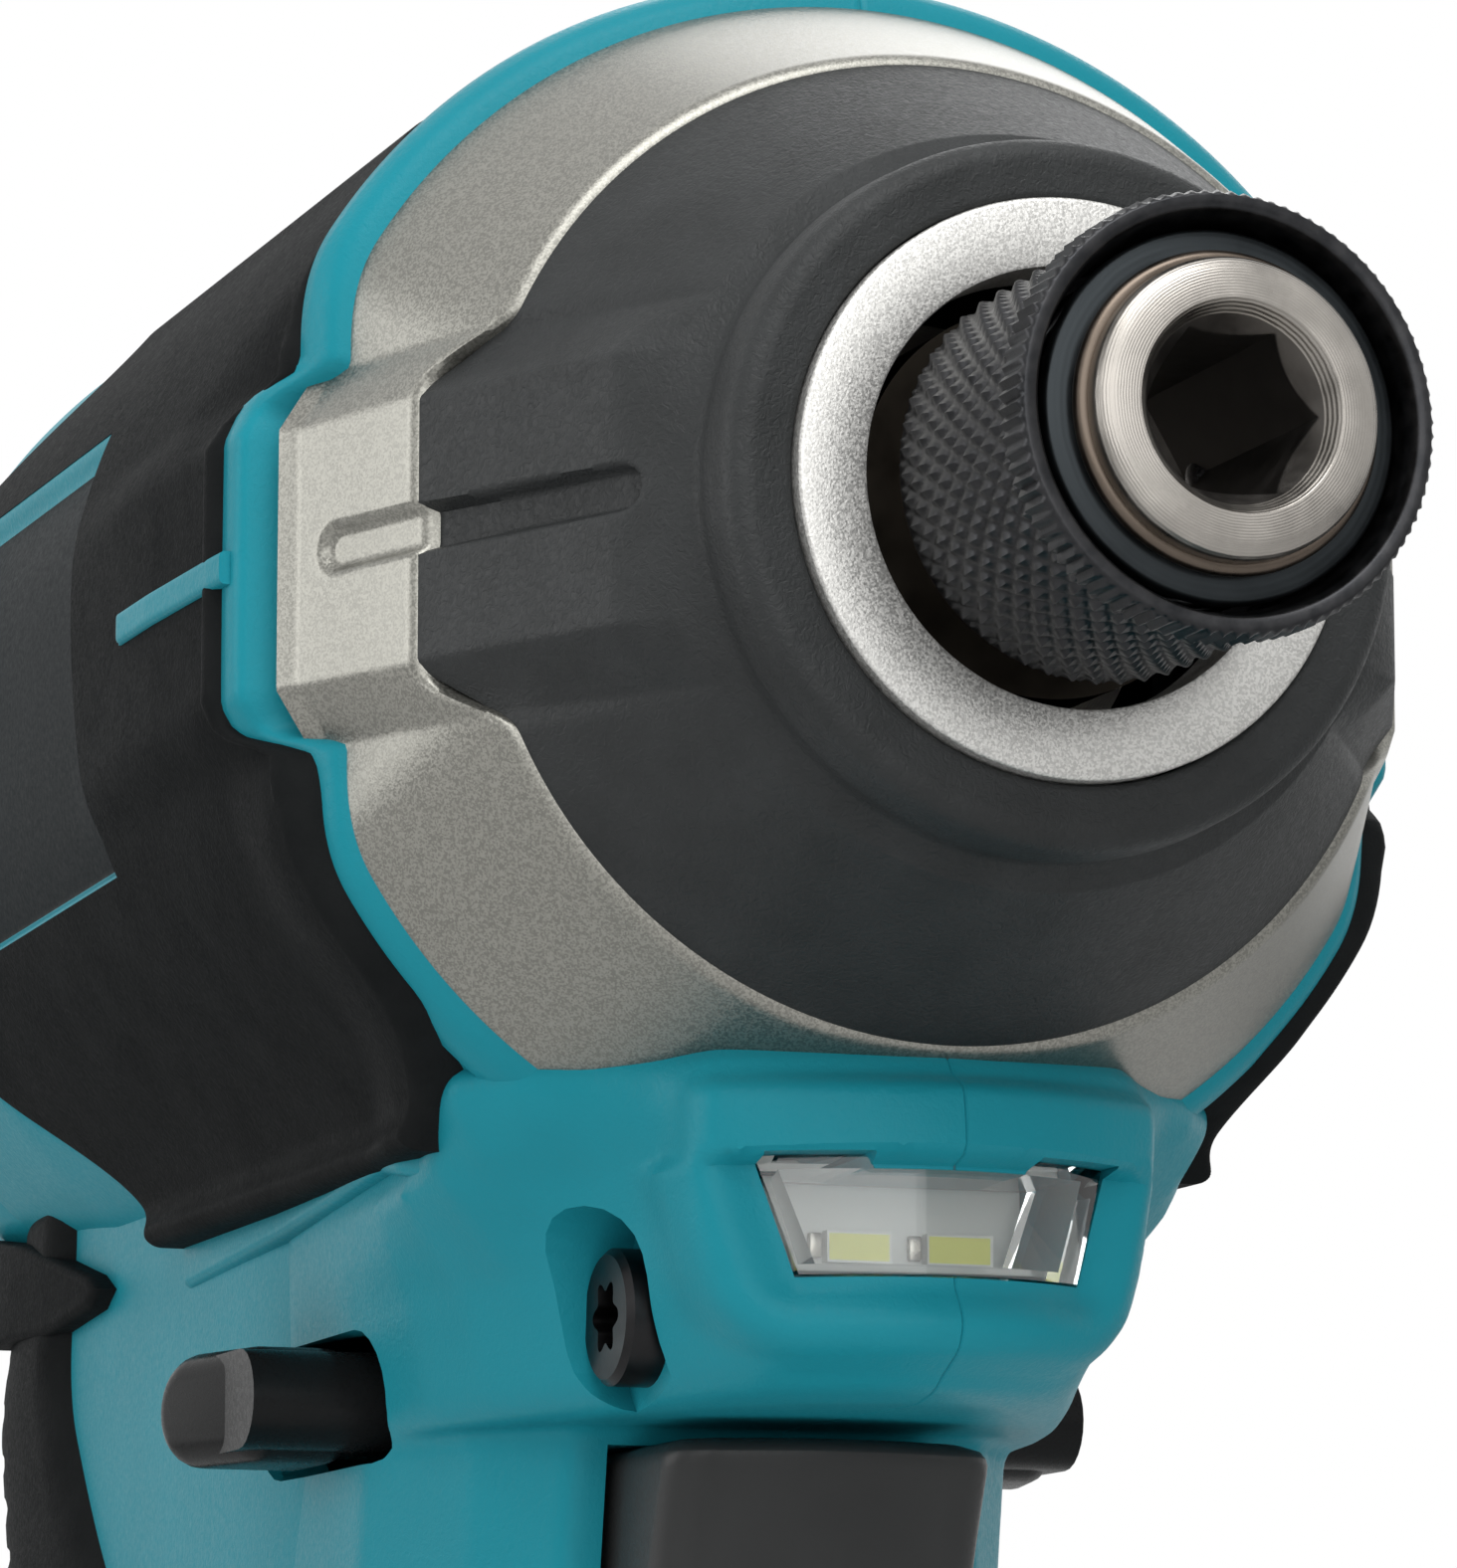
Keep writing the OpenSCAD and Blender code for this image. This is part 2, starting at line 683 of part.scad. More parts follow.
// One half of the chin and of the throat, each through its level outlines
function chin_ring(row) = [for (p = concat(
  [[row[1], -over]],
  [for (i = [0:chin_steps]) let (t = i / chin_steps) [mix(row[1], row[2], t * t), row[3] * t]],
  [[chin_lamp_back, row[4]], [chin_shoulder_back, row[5]], [chin_wide_back, chin_side_w],
    [chin_rear, chin_rear_w], [chin_rear, -over]])) [nose_x - p[0], -p[1], axis_h - row[0]]];
function throat_ring(row) = [for (p = [
  [row[1], -over], [row[1], throat_w - throat_edge], [row[1] + throat_edge, throat_w],
  [row[1] + throat_cheek_l, throat_cheek_w], [row[1] + throat_side_l, throat_side_w],
  [throat_rear, throat_rear_w], [throat_rear, -over]]) [nose_x - p[0], -p[1], axis_h - row[0]]];
// Level outlines run downwards, and a loft is given from the lowest ring up
function upwards(rings) = [for (i = [len(rings) - 1:-1:0]) rings[i]];
module chin_half() {
  loft(upwards([for (row = chin_levels) chin_ring(row)]));
  loft(upwards([for (row = throat_levels) throat_ring(row)]));
}
// The lamp window, seen from the front as [y, height]
module lamp_prism(u_rear, u_front, grow)
  translate([nose_x + u_rear, 0, axis_h - lamp_drop]) rotate([90, 0, 90]) linear_extrude(u_front - u_rear)
    polygon([[-lamp_w / 2 - grow, lamp_h / 2 + grow], [lamp_w / 2 + grow, lamp_h / 2 + grow],
      [lamp_w / 2 - lamp_taper + grow, -lamp_h / 2 - grow],
      [lamp_taper - lamp_w / 2 - grow, -lamp_h / 2 - grow]]);

// Side panel outline on the right side
panel_outline = [
  [-panel_front, panel_top - panel_corner], [-panel_front - panel_corner, panel_top],
  [panel_slope_l - panel_rear, panel_top], [-panel_rear, panel_tail_h], [-panel_rear, -panel_tail_h],
  [panel_slope_l - panel_rear, -panel_low], [-panel_front - panel_corner, -panel_low],
  [-panel_front, panel_corner - panel_low], [-panel_front, -pad_h / 2 - panel_corner],
  [-panel_jog, -pad_h / 2], [-panel_jog, pad_h / 2], [-panel_front, pad_h / 2 + panel_corner]
];
function plate_outline(grow) = [
  [grow - plate_front_back, plate_h / 2 + grow], [-plate_front_back - plate_l - grow, plate_h / 2 + grow],
  [-plate_front_back - plate_l - grow, -plate_h / 2 - grow],
  [plate_lean - plate_front_back + grow, -plate_h / 2 - grow]
];
module panel_area(window) right_prism(pad_root_y, far) difference() {
  polygon(panel_outline);
  if (window) polygon(plate_outline(plate_frame));
}
module panel_skin(window) difference() {
  intersection() {
    barrel(0);
    panel_area(window);
  }
  barrel(panel_t - seam);
}

// Everything hollow inside the two housing halves
module housing_room() {
  head_room();
  head_box(-well_rear, 0, trigger_w / 2 + slide_gap,
    -chin_drop - trigger_gap - trigger_h - trigger_gap, -chin_drop);
  head_box(-switch_front - switch_l - slide_gap, -well_rear + over, switch_w / 2 + slide_gap,
    -switch_top - switch_h - slide_gap, slide_gap - switch_top);
  head_box(-lever_pivot - lever_pivot_r - 2 * lever_sweep, -lever_front + lever_sweep + face_gap,
    lever_room_w / 2, -switch_top - face_gap, lever_h / 2 + face_gap - lever_mid_drop);
  head_box(-lever_front - lever_l - lever_sweep - face_gap, -lever_front + lever_sweep + face_gap, far,
    -lever_h / 2 - face_gap - lever_mid_drop, lever_h / 2 + face_gap - lever_mid_drop);
  lamp_prism(-board_back + chip_t, 0, lens_gap);
  head_box(-board_back - board_t - seam, -board_back + chip_room, board_w / 2 + seam,
    -board_drop - board_h / 2 - seam, -board_drop + board_h / 2 + seam);
  wire_channel();
  terminal_room();
  rail_room();
}
module wire_channel()
  box([nose_x - switch_front - switch_l + slide_gap, -wire_y - wire_r - slide_gap,
    cavity_top + block_h - over],
    [nose_x - switch_front - switch_l + 3 * wire_r + face_gap + slide_gap, wire_y + wire_r + slide_gap,
      axis_h - switch_top - switch_h + over]);
module terminal_room()
  box([blade_x - slide_gap, -block_w / 2 - slide_gap, cavity_top - over],
    [blade_x + block_l + slide_gap, block_w / 2 + slide_gap, cavity_top + block_h + slide_gap]);
// The battery slot in the foot, open to the front and below
module rail_room() {
  box([rail_rear - face_gap, -rail_neck_w / 2 - slide_gap, foot_z - over],
    [foot_front + over, rail_neck_w / 2 + slide_gap, cavity_top]);
  box([rail_rear - face_gap, -rail_w / 2 - slide_gap, cavity_top - rail_lip - 2 * slide_gap],
    [foot_front + over, rail_w / 2 + slide_gap, cavity_top]);
}
module screw_holes() for (s = SCREWS) translate([s[0], 0, s[1]]) rotate([90, 0, 0]) {
  translate([0, 0, -screw_grip - seam]) cylinder(r = screw_r + seam, h = screw_grip + s[2] + over);
  translate([0, 0, s[2]]) cylinder(r = screw_head_r + slide_gap, h = far);
}
module cover_screw_holes() both_sides() translate([0, -cover_screw_mid, 0]) on_spindle()
  translate([0, 0, -tail_back - cover_seat - far]) {
    cylinder(r = cover_screw_r + seam, h = far + cover_screw_l + seam);
    cylinder(r = cover_head_r + slide_gap, h = far);
  }
module side_vents() for (i = [0:vent_count - 1])
  right_prism(motor_room_r - 2 * over, far)
    translate([-side_vent_back - vent_l / 2, (i - (vent_count - 1) / 2) * vent_pitch])
      square([vent_l / 2, vent_w]);
// The space of the rear cover, which the handle keeps clear of
module cover_space() turned([[0, -tail_back - seam], [tail_r + over, -tail_back - seam],
  [tail_r + over, -head_l - over], [0, -head_l - over]]);
module housing_half() {
  difference() {
    union() {
      barrel(0);
      loft(handle_rings);
      chin_half();
    }
    box([-head_l, 0, -over], [head_l, foot_w, axis_h + 2 * barrel_r]);
    cover_space();
    difference() {
      panel_area(false);
      barrel(panel_t);
    }
    side_vents();
  }
}

module housing_right() color("#12808c") difference() {
  union() {
    housing_half();
    plate_frame_pad();
  }
  housing_room();
  screw_holes();
  cover_screw_holes();
  plate_recess();
}
// The raised frame round the bare recess, and the recess itself
module plate_frame_pad() intersection() {
  barrel(0);
  right_prism(pad_root_y, far) polygon(plate_outline(plate_frame - seam));
}
module plate_recess() difference() {
  right_prism(pad_root_y, far) polygon(plate_outline(0));
  barrel(plate_deep);
}
module housing_left() color("#12808c") difference() {
  mirror([0, 1, 0]) housing_half();
  housing_room();
  screw_holes();
  cover_screw_holes();
}
module side_panel_right() color("#1c1c1e") difference() {
  panel_skin(true);
  side_vents();
}
module side_panel_left() color("#1c1c1e") mirror([0, 1, 0]) difference() {
  panel_skin(false);
  side_vents();
}
module recess_plate() color("#202225") difference() {
  intersection() {
    barrel(plate_deep - plate_t);
    right_prism(pad_root_y, far) polygon(plate_outline(-seam));
  }
  barrel(plate_deep - seam);
}
// Rubber wrapped round the sides and rear of one half of the grip
module grip_half() loft([for (i = [grip_row_low:grip_row_high]) let (row = grip_shares[i],
  outside = grip_section(row, grip_t, row[4]), inside = grip_section(row, grip_gap, row[4]))
  concat(outside, [for (k = [loft_steps:-1:0]) inside[k]])]);
module grip_right() color("#1c1c1e") difference() {
  grip_half();
  screw_holes();
}
module grip_left() color("#1c1c1e") mirror([0, 1, 0]) grip_half();

tail_profile = concat(
  [[0, -tail_back], [tail_r, -tail_back]],
  arc(tail_r - tail_edge, tail_edge - head_l, tail_edge, 0, -90, 6), [[0, -head_l]]);
module rear_cover() color("#12808c") difference() {
  turned(tail_profile);
  turned([[0, -tail_back + over], [motor_room_r, -tail_back + over], [motor_room_r, tail_room_rear],
    [tail_boss_r, tail_room_rear], [tail_boss_r, rear_bearing_front],
    [motor_bearing_r, rear_bearing_front],
    [motor_bearing_r, rear_bearing_rear - seam], [0, rear_bearing_rear - seam]]);
  cover_screw_holes();
  for (i = [0:vent_count - 1], side = [-1, 1])
    translate([nose_x - head_l - over, side * tail_vent_r - tail_vent_l / 2,
      axis_h + (i - (vent_count - 1) / 2) * vent_pitch - vent_w / 2])
      cube([head_l + tail_room_rear + 2 * over, tail_vent_l, vent_w]);
}
module rear_cover_screws() color("#2a2a2c") both_sides() translate([0, -cover_screw_mid, 0]) on_spindle()
  translate([0, 0, -tail_back - cover_seat]) {
    cylinder(r = cover_screw_r, h = cover_screw_l);
    translate([0, 0, -cover_head_t]) cylinder(r = cover_head_r, h = cover_head_t);
  }
module housing_screws() color("#2a2a2c") for (s = SCREWS) translate([s[0], 0, s[1]]) rotate([90, 0, 0]) {
  translate([0, 0, -screw_grip]) cylinder(r = screw_r, h = screw_grip + s[2]);
  translate([0, 0, s[2]]) difference() {
    cylinder(r = screw_head_r, h = screw_head_t);
    translate([0, 0, screw_head_t / 2]) cylinder(r = screw_head_r / 2, h = screw_head_t, $fn = 6);
  }
}

// Hammer case: turned shell, flat side pads, bush bore and gear seat
module hammer_case() color("#b9b7b1") difference() {
  union() {
    difference() {
      turned(concat([[0, 0]], case_flank,
        [[skirt_r, -rim_back], [skirt_r, case_rear], [0, case_rear]]));
      both_sides() beyond(bumper_back, cheek_front_y, rim_back, cheek_rim_y, barrel_r * 2);
    }
    both_sides() case_pad();
  }
  turned([[0, over], [ring_bore_r, over], [ring_bore_r, -ring_recess], [bush_r, -ring_recess],
    [bush_r, room_u], [arm_r + face_gap, room_u], [hammer_room_r, room_u - 2 * face_gap],
    [hammer_room_r, disc_rear], [gear_seat_r, disc_rear], [gear_seat_r, case_rear - over],
    [0, case_rear - over]]);
  both_sides() beyond(pad_front, pad_front_y - rubber_t - seam, pad_seam + seam, pad_seam_y - rubber_t - seam,
    pad_h + 2 * seam);
  both_sides() pad_groove(pad_seam - over, pad_rear - over);
}
module case_pad() translate([nose_x, 0, axis_h - pad_h / 2]) linear_extrude(pad_h) polygon([
  [-bumper_back, -pad_root_y], [-bumper_back, -pad_line(bumper_back)], [-pad_seam, -pad_seam_y],
  [-pad_rear, -pad_rear_y], [-pad_rear, -pad_root_y]]);
// Distance of the pad face from the middle plane at a distance behind the nose face
function pad_line(back) = back < pad_seam
  ? mix(pad_front_y, pad_seam_y, (back - pad_front) / (pad_seam - pad_front))
  : mix(pad_seam_y, pad_rear_y, (back - pad_seam) / (pad_rear - pad_seam));
module pad_groove(front, rear) translate([nose_x, 0, axis_h - groove_h / 2]) linear_extrude(groove_h)
  polygon([[-front, pad_groove_d - pad_line(front)], [-front, -far], [-rear, -far],
    [-rear, pad_groove_d - pad_line(rear)]]);
module nose_bumper() color("#18181a") difference() {
  union() {
    difference() {
      turned(concat([[ring_r + seam, step_u + seam], [ring_r + seam, -ring_proud]],
        arc(collar_r - collar_fillet, -ring_proud - collar_fillet, collar_fillet, 90, collar_turn, 5),
        [[bumper_r, seam - bumper_back], [bumper_r - rubber_t + seam, seam - bumper_back],
          [collar_r - rubber_t + seam, step_u + seam]]));
      both_sides() beyond(pad_front, pad_front_y, pad_seam, pad_seam_y, barrel_r * 2);
    }
    both_sides() bumper_pad();
  }
  both_sides() pad_groove(groove_front, pad_seam + over);
}
// The rubber pad stands on the flank in front and on the case's flat pad behind the rear edge
module bumper_pad() translate([nose_x, 0, axis_h - pad_h / 2]) linear_extrude(pad_h) polygon([
  [-pad_front, -pad_front_y], [-pad_seam, -pad_seam_y], [-pad_seam, rubber_t - pad_seam_y],
  [-pad_front, rubber_t - pad_front_y]]);
module anvil_bush() color("#a9834c")
  ring_piece(anvil_r + run_gap, bush_r - seam, room_u + seam, -ring_recess);
module ring_gear() color("#8d9094") on_spindle() translate([0, 0, back_disc_front]) difference() {
  cylinder(r = gear_seat_r - seam, h = disc_rear - back_disc_front);
  translate([0, 0, -over]) linear_extrude(far)
    polygon(gear_outline(ring_teeth, gear_m * (ring_teeth / 2 - addendum_share),
      gear_m * (ring_teeth / 2 + dedendum_share), backlash / 2));
}
module gear_plate() color("#5c5f63") turned([
  [disc_r + face_gap, back_disc_front], [gear_seat_r - seam, back_disc_front],
  [gear_seat_r - seam, case_rear],
  [skirt_r, case_rear], [skirt_r, case_rear - plate_rim_t], [bearing_r + case_wall, case_rear - plate_rim_t],
  [bearing_r + case_wall, motor_bearing_front], [boss_r, motor_bearing_front], [boss_r, motor_bearing_rear],
  [motor_bearing_r + seam, motor_bearing_rear],
  [motor_bearing_r + seam, motor_bearing_front], [hub_bore_r, motor_bearing_front],
  [hub_bore_r, bearing_rear],
  [bearing_r + seam, bearing_rear], [bearing_r + seam, back_disc_rear - gear_gap],
  [disc_r + face_gap, back_disc_rear - gear_gap]]);
module spindle_bearing() color("#c4c6c8")
  ring_piece(hub_r + run_gap, bearing_r, bearing_rear, back_disc_rear - gear_gap);
module motor_front_bearing() color("#c4c6c8")
  ring_piece(shaft_r + run_gap, motor_bearing_r, motor_bearing_rear, motor_bearing_front);
module motor_rear_bearing() color("#c4c6c8")
  ring_piece(tail_shaft_r + run_gap, motor_bearing_r - seam, rear_bearing_rear, rear_bearing_front);
module yoke() color("#6f7276") ring_piece(yoke_r - yoke_wall, yoke_r, yoke_rear, yoke_front);
module magnets() color("#3d3f43") on_spindle() for (i = [0:3]) rotate(45 + 90 * i - magnet_span / 2)
  rotate_extrude(angle = magnet_span) translate([yoke_r - yoke_wall - magnet_t, core_rear])
    square([magnet_t - seam, core_l]);
module brush_holder() color("#34363a") difference() {
  union() {
    turned([[yoke_r - holder_wall, holder_front], [yoke_r, holder_front], [yoke_r, holder_rear],
      [tail_shaft_r + over, holder_rear], [tail_shaft_r + over, holder_rear + holder_plate_t],
      [yoke_r - holder_wall, holder_rear + holder_plate_t]]);
    both_sides() brush_box(brush_box_wall, commutator_r + 2 * face_gap, yoke_r - holder_wall + face_gap);
  }
  both_sides() brush_box(seam, commutator_r - over, brush_out_r + seam);
}
// A block along the tool's right from one radius to another, round the brush's own section
module brush_box(wall, r_in, r_out) {
  mid = (commutator_front + commutator_rear) / 2;
  box([nose_x + mid - brush_l / 2 - wall, -r_out, axis_h - brush_w / 2 - wall],
    [nose_x + mid + brush_l / 2 + wall, -r_in, axis_h + brush_w / 2 + wall]);
}
module carbon_brushes() color("#2b2b2b") both_sides() difference() {
  brush_box(0, commutator_r - over, brush_out_r);
  ring_piece(0, commutator_r + 2 * run_gap, commutator_rear - over, commutator_front + over);
}

// Armature: pinion and shaft, laminated core, windings, commutator and fan
module armature_shaft() color("#b3b6ba") {
  on_spindle() translate([0, 0, back_disc_rear])
    outer_gear(sun_teeth, planet_front - back_disc_rear);
  turned([[0, back_disc_rear], [shaft_r, back_disc_rear], [shaft_r, commutator_rear],
    [tail_shaft_r, commutator_rear], [tail_shaft_r, rear_bearing_rear], [0, rear_bearing_rear]]);
}
module armature_core() color("#77797d") difference() {
  ring_piece(shaft_r, core_r, core_rear, core_front);
  on_spindle() for (i = [0:core_slots - 1]) rotate(360 / core_slots * i)
    translate([core_r - slot_d, -slot_w / 2, core_rear - over])
      cube([slot_d + over, slot_w, core_l + 2 * over]);
}
module windings() color("#a5562c") {
  ring_piece(winding_in_r, winding_r, core_front, core_front + winding_t);
  ring_piece(winding_in_r, winding_r, core_rear - winding_t, core_rear);
}
module commutator() color("#b5713f") ring_piece(shaft_r, commutator_r, commutator_rear, commutator_front);
module fan() color("#2e3033") {
  ring_piece(shaft_r, fan_hub_r, fan_front - fan_l, fan_front);
  ring_piece(fan_hub_r - seam, fan_r, fan_front - fan_l, fan_front - fan_l + fan_disc_t);
  on_spindle() for (i = [0:fan_blades - 1]) rotate(360 / fan_blades * i)
    translate([fan_hub_r - face_gap, -blade_t / 2, fan_front - fan_l + fan_disc_t / 2])
      cube([fan_r - fan_hub_r - face_gap, blade_t, fan_l - fan_disc_t]);
}

// Spindle: pilot, cam shaft, carrier discs joined by two posts, and the bearing hub
module spindle() color("#9a9da1") difference() {
  union() {
    turned([[0, anvil_rear + pilot_l - face_gap], [pilot_r, anvil_rear + pilot_l - face_gap],
      [pilot_r, anvil_rear - face_gap], [spindle_r, anvil_rear - face_gap], [spindle_r, carrier_front],
      [disc_r, carrier_front], [disc_r, disc_rear], [0, disc_rear]]);
    turned([[hub_bore_r, hub_rear], [hub_r, hub_rear], [hub_r, back_disc_rear], [disc_r, back_disc_rear],
      [disc_r, back_disc_front], [hub_bore_r, back_disc_front]]);
    on_spindle() intersection() {
      both_sides() translate([-post_w / 2, -disc_r, back_disc_rear])
        cube([post_w, disc_r - post_in_r, carrier_front - back_disc_rear]);
      translate([0, 0, back_disc_rear]) cylinder(r = disc_r, h = carrier_front - back_disc_rear);
    }
  }
  both_planets() translate([0, 0, back_disc_rear - over]) cylinder(r = pin_r + seam, h = far);
  cam_track();
}
module both_planets() on_spindle() for (side = [-1, 1]) translate([side * planet_reach, 0, 0]) children();
// Each cam ball rolls in a track with round ends along the spindle
module cam_track() on_spindle() for (side = [-1, 1]) translate([0, side * cam_mid_r, cam_u - hammer_travel]) {
  cylinder(r = cam_ball_r + run_gap, h = hammer_travel);
  sphere(r = cam_ball_r + run_gap);
  translate([0, 0, hammer_travel]) sphere(r = cam_ball_r + run_gap);
}
module planet_pins() color("#c8cacc") both_planets() translate([0, 0, back_disc_rear])
  cylinder(r = pin_r, h = disc_rear + disc_t / 2 - back_disc_rear);
// The pinion points a tooth down and the ring a space, so the lower planet has a tooth out, the upper one in
module planet(side) color("#85888c") on_spindle() translate([side * planet_reach, 0, planet_rear])
  difference() {
    outer_gear(planet_teeth, planet_l);
    translate([0, 0, -over]) cylinder(r = pin_r + run_gap, h = planet_l + 2 * over);
  }
module planet_gear_upper() planet(-1);
module planet_gear_lower() planet(1);

module hammer() color("#55585c") difference() {
  union() {
    ring_piece(spindle_r + run_gap, hammer_r, hammer_rear, hammer_front);
    on_spindle() intersection() {
      both_sides() translate([-lug_w / 2, -hammer_r, hammer_front - over])
        cube([lug_w, hammer_r - lug_in_r, lug_l + over]);
      translate([0, 0, hammer_front - over]) cylinder(r = hammer_r, h = lug_l + over);
    }
  }
  ring_piece(pocket_in_r, pocket_out_r, hammer_rear - over, hammer_rear + pocket_l);
  on_spindle() for (side = [-1, 1]) translate([0, side * cam_mid_r, cam_u]) sphere(r = cam_ball_r + run_gap);
}
module cam_balls() color("#d5d7d9") on_spindle() for (side = [-1, 1])
  translate([0, side * cam_mid_r, cam_u]) sphere(r = cam_ball_r);
module hammer_spring() color("#6b6e72") on_spindle() translate([0, 0, carrier_front + gear_gap])
  coil(spring_mid_r, spring_wire, hammer_rear + pocket_l - carrier_front - 2 * gear_gap, spring_turns);

// Anvil: shaft with hexagon socket and detent holes, flange with two arms, pilot bore
module anvil() color("#7d7a75") difference() {
  union() {
    turned([[0, tip_out], [anvil_r - tip_edge, tip_out], [anvil_r, tip_out - tip_edge],
      [anvil_r, -flange_back], [flange_r, -flange_back], [flange_r, anvil_rear], [0, anvil_rear]]);
    on_spindle() intersection() {
      translate([-arm_r, -arm_w / 2, anvil_rear]) cube([2 * arm_r, arm_w, flange_t]);
      translate([0, 0, anvil_rear]) cylinder(r = arm_r, h = flange_t);
    }
  }
  on_spindle() translate([0, 0, tip_out - hex_depth]) rotate(hex_turn)
    cylinder(r = hex_af / 2 / cos(hex_turn), h = hex_depth + over, $fn = 6);
  turned([[0, tip_out - lead_l], [hex_af / 2, tip_out - lead_l], [lead_r, tip_out], [lead_r, tip_out + over],
    [0, tip_out + over]]);
  on_spindle() translate([0, 0, anvil_rear - over]) cylinder(r = pilot_r + run_gap, h = pilot_l + over);
  detent_pair() cylinder(r = detent_r + run_gap, h = anvil_r);
  ring_piece(anvil_r - groove_d, anvil_r + over, washer_front, washer_front + ring_t);
}
module detent_pair() on_spindle() for (side = [-1, 1])
  translate([0, 0, detent_u]) rotate([-90 * side, 0, 0]) translate([0, 0, hex_af / 4]) children();
module detent_balls() color("#d5d7d9") detent_pair()
  translate([0, 0, detent_mid - hex_af / 4]) sphere(r = detent_r);
module sleeve_washer() color("#8fa3ad")
  ring_piece(anvil_r + seam, anvil_r + washer_w, washer_rear, washer_front);
module retaining_ring() color("#7c5a3c")
  ring_piece(anvil_r - groove_d, anvil_r + ring_high, washer_front, washer_front + ring_t);
module bit_sleeve() color("#35363a") {
  turned([[anvil_r + run_gap, sleeve_rear], [sleeve_r - sleeve_edge, sleeve_rear],
    [sleeve_r, sleeve_rear + sleeve_edge], [sleeve_r, rim_u - rim_l], [rim_r - rim_tooth, rim_u - rim_l],
    [rim_r - rim_tooth, rim_u], [rim_r - rim_wall, rim_u], [cavity_r, rim_u - rim_l],
    [cavity_r, cavity_floor], [anvil_r + run_gap, cavity_floor]]);
  on_spindle() translate([0, 0, rim_u - rim_l]) difference() {
    linear_extrude(rim_l) polygon([for (i = [0:2 * rim_teeth - 1])
      let (r = rim_r - rim_tooth * (i % 2), a = 180 * i / rim_teeth) [r * cos(a), r * sin(a)]]);
    translate([0, 0, -over]) cylinder(r = rim_r - rim_tooth - seam, h = rim_l + 2 * over);
  }
}
module sleeve_spring() color("#8b8e92") on_spindle() translate([0, 0, cavity_floor + gear_gap])
  coil((anvil_r + cavity_r) / 2 + sleeve_spring_out, sleeve_wire, washer_rear - cavity_floor - 2 * gear_gap,
    sleeve_turns);

// Lamp under the nose
module lamp_lens() color("#cfd6d8", 0.5) intersection() {
  lamp_prism(-chin_lip - lens_l - lamp_set, 0, 0);
  translate([nose_x - lamp_set - chin_lip - chin_bow_r, 0, axis_h - lamp_drop - lamp_h])
    cylinder(r = chin_bow_r, h = 2 * lamp_h);
}
module lamp_board() color("#e9e9e4") head_box(-board_back - board_t, -board_back, board_w / 2,
  -board_drop - board_h / 2, -board_drop + board_h / 2);
module lamp_chips() color("#e8c53a") for (side = [-1, 1]) translate([0, side * chip_pitch / 2, 0])
  head_box(-board_back, -board_back + chip_t, chip_w / 2, -lamp_drop - chip_drop - chip_h / 2,
    -lamp_drop - chip_drop + chip_h / 2);

// Trigger with a hollowed finger face, its plunger and spring
trigger_top = chin_drop + trigger_gap;
trigger_outline = concat(
  [[-trigger_rear, -trigger_top]],
  [for (i = [0:trigger_steps]) let (t = i / trigger_steps)
    [-trigger_front - trigger_hollow * sin(180 * t), -trigger_top - trigger_h * t]],
  [[-trigger_rear, -trigger_top - trigger_h]]);
module trigger() color("#1b1b1d") difference() {
  intersection() {
    both_sides() right_prism(0, trigger_w / 2) polygon(trigger_outline);
    translate([nose_x - trigger_front / 2 - trigger_rear / 2, 0, axis_h - trigger_top - trigger_h - over])
      linear_extrude(trigger_h + 2 * over)
        polygon(rounded(trigger_rear - trigger_front, trigger_w, trigger_edge));
  }
  plunger_rod(plunger_r, -trigger_rear - over, plunger_grip - trigger_rear);
}
module plunger_rod(r, u_rear, u_front) translate([nose_x + u_rear, 0, axis_h - trigger_top - trigger_h / 2])
  rotate([0, 90, 0]) cylinder(r = r, h = u_front - u_rear);
module trigger_plunger() color("#3a3c40")
  plunger_rod(plunger_r - seam, -switch_front - plunger_in, plunger_grip - trigger_rear);
module trigger_spring() color("#8b8e92")
  translate([nose_x - switch_front + gear_gap, 0, axis_h - trigger_top - trigger_h / 2]) rotate([0, 90, 0])
    coil(trigger_spring_r, trigger_wire, switch_front - trigger_rear - 2 * gear_gap, trigger_turns);
module switch_body() color("#303236") difference() {
  head_box(-switch_front - switch_l, -switch_front, switch_w / 2, -switch_top - switch_h, -switch_top);
  plunger_rod(plunger_r + run_gap, -switch_front - plunger_in - trigger_travel - face_gap,
    over - switch_front);
  lever_pin(lever_pin_r + run_gap, lever_pin_l + seam);
}
module lever_pin(r, l) translate([nose_x - lever_pivot, 0, axis_h - switch_top - l])
  cylinder(r = r, h = l + over);
// Forward and reverse lever: a bar that shows on both sides, on an arm that turns on the switch
module reverse_lever() color("#1b1b1d") {
  low = -lever_mid_drop - lever_h / 2;
  translate([nose_x - lever_front - lever_l / 2, 0, axis_h + low]) linear_extrude(lever_h)
    polygon(rounded(lever_l, lever_w, lever_corner));
  head_box(-lever_pivot, -lever_front - lever_l / 2, lever_neck_w / 2, low, low + lever_h / 2);
  translate([nose_x - lever_pivot, 0, axis_h + low]) cylinder(r = lever_pivot_r, h = lever_h / 2);
  translate([nose_x - lever_pivot, 0, axis_h - switch_top - lever_pin_l])
    cylinder(r = lever_pin_r, h = switch_top + lever_pin_l + low + lever_h / 4);
}

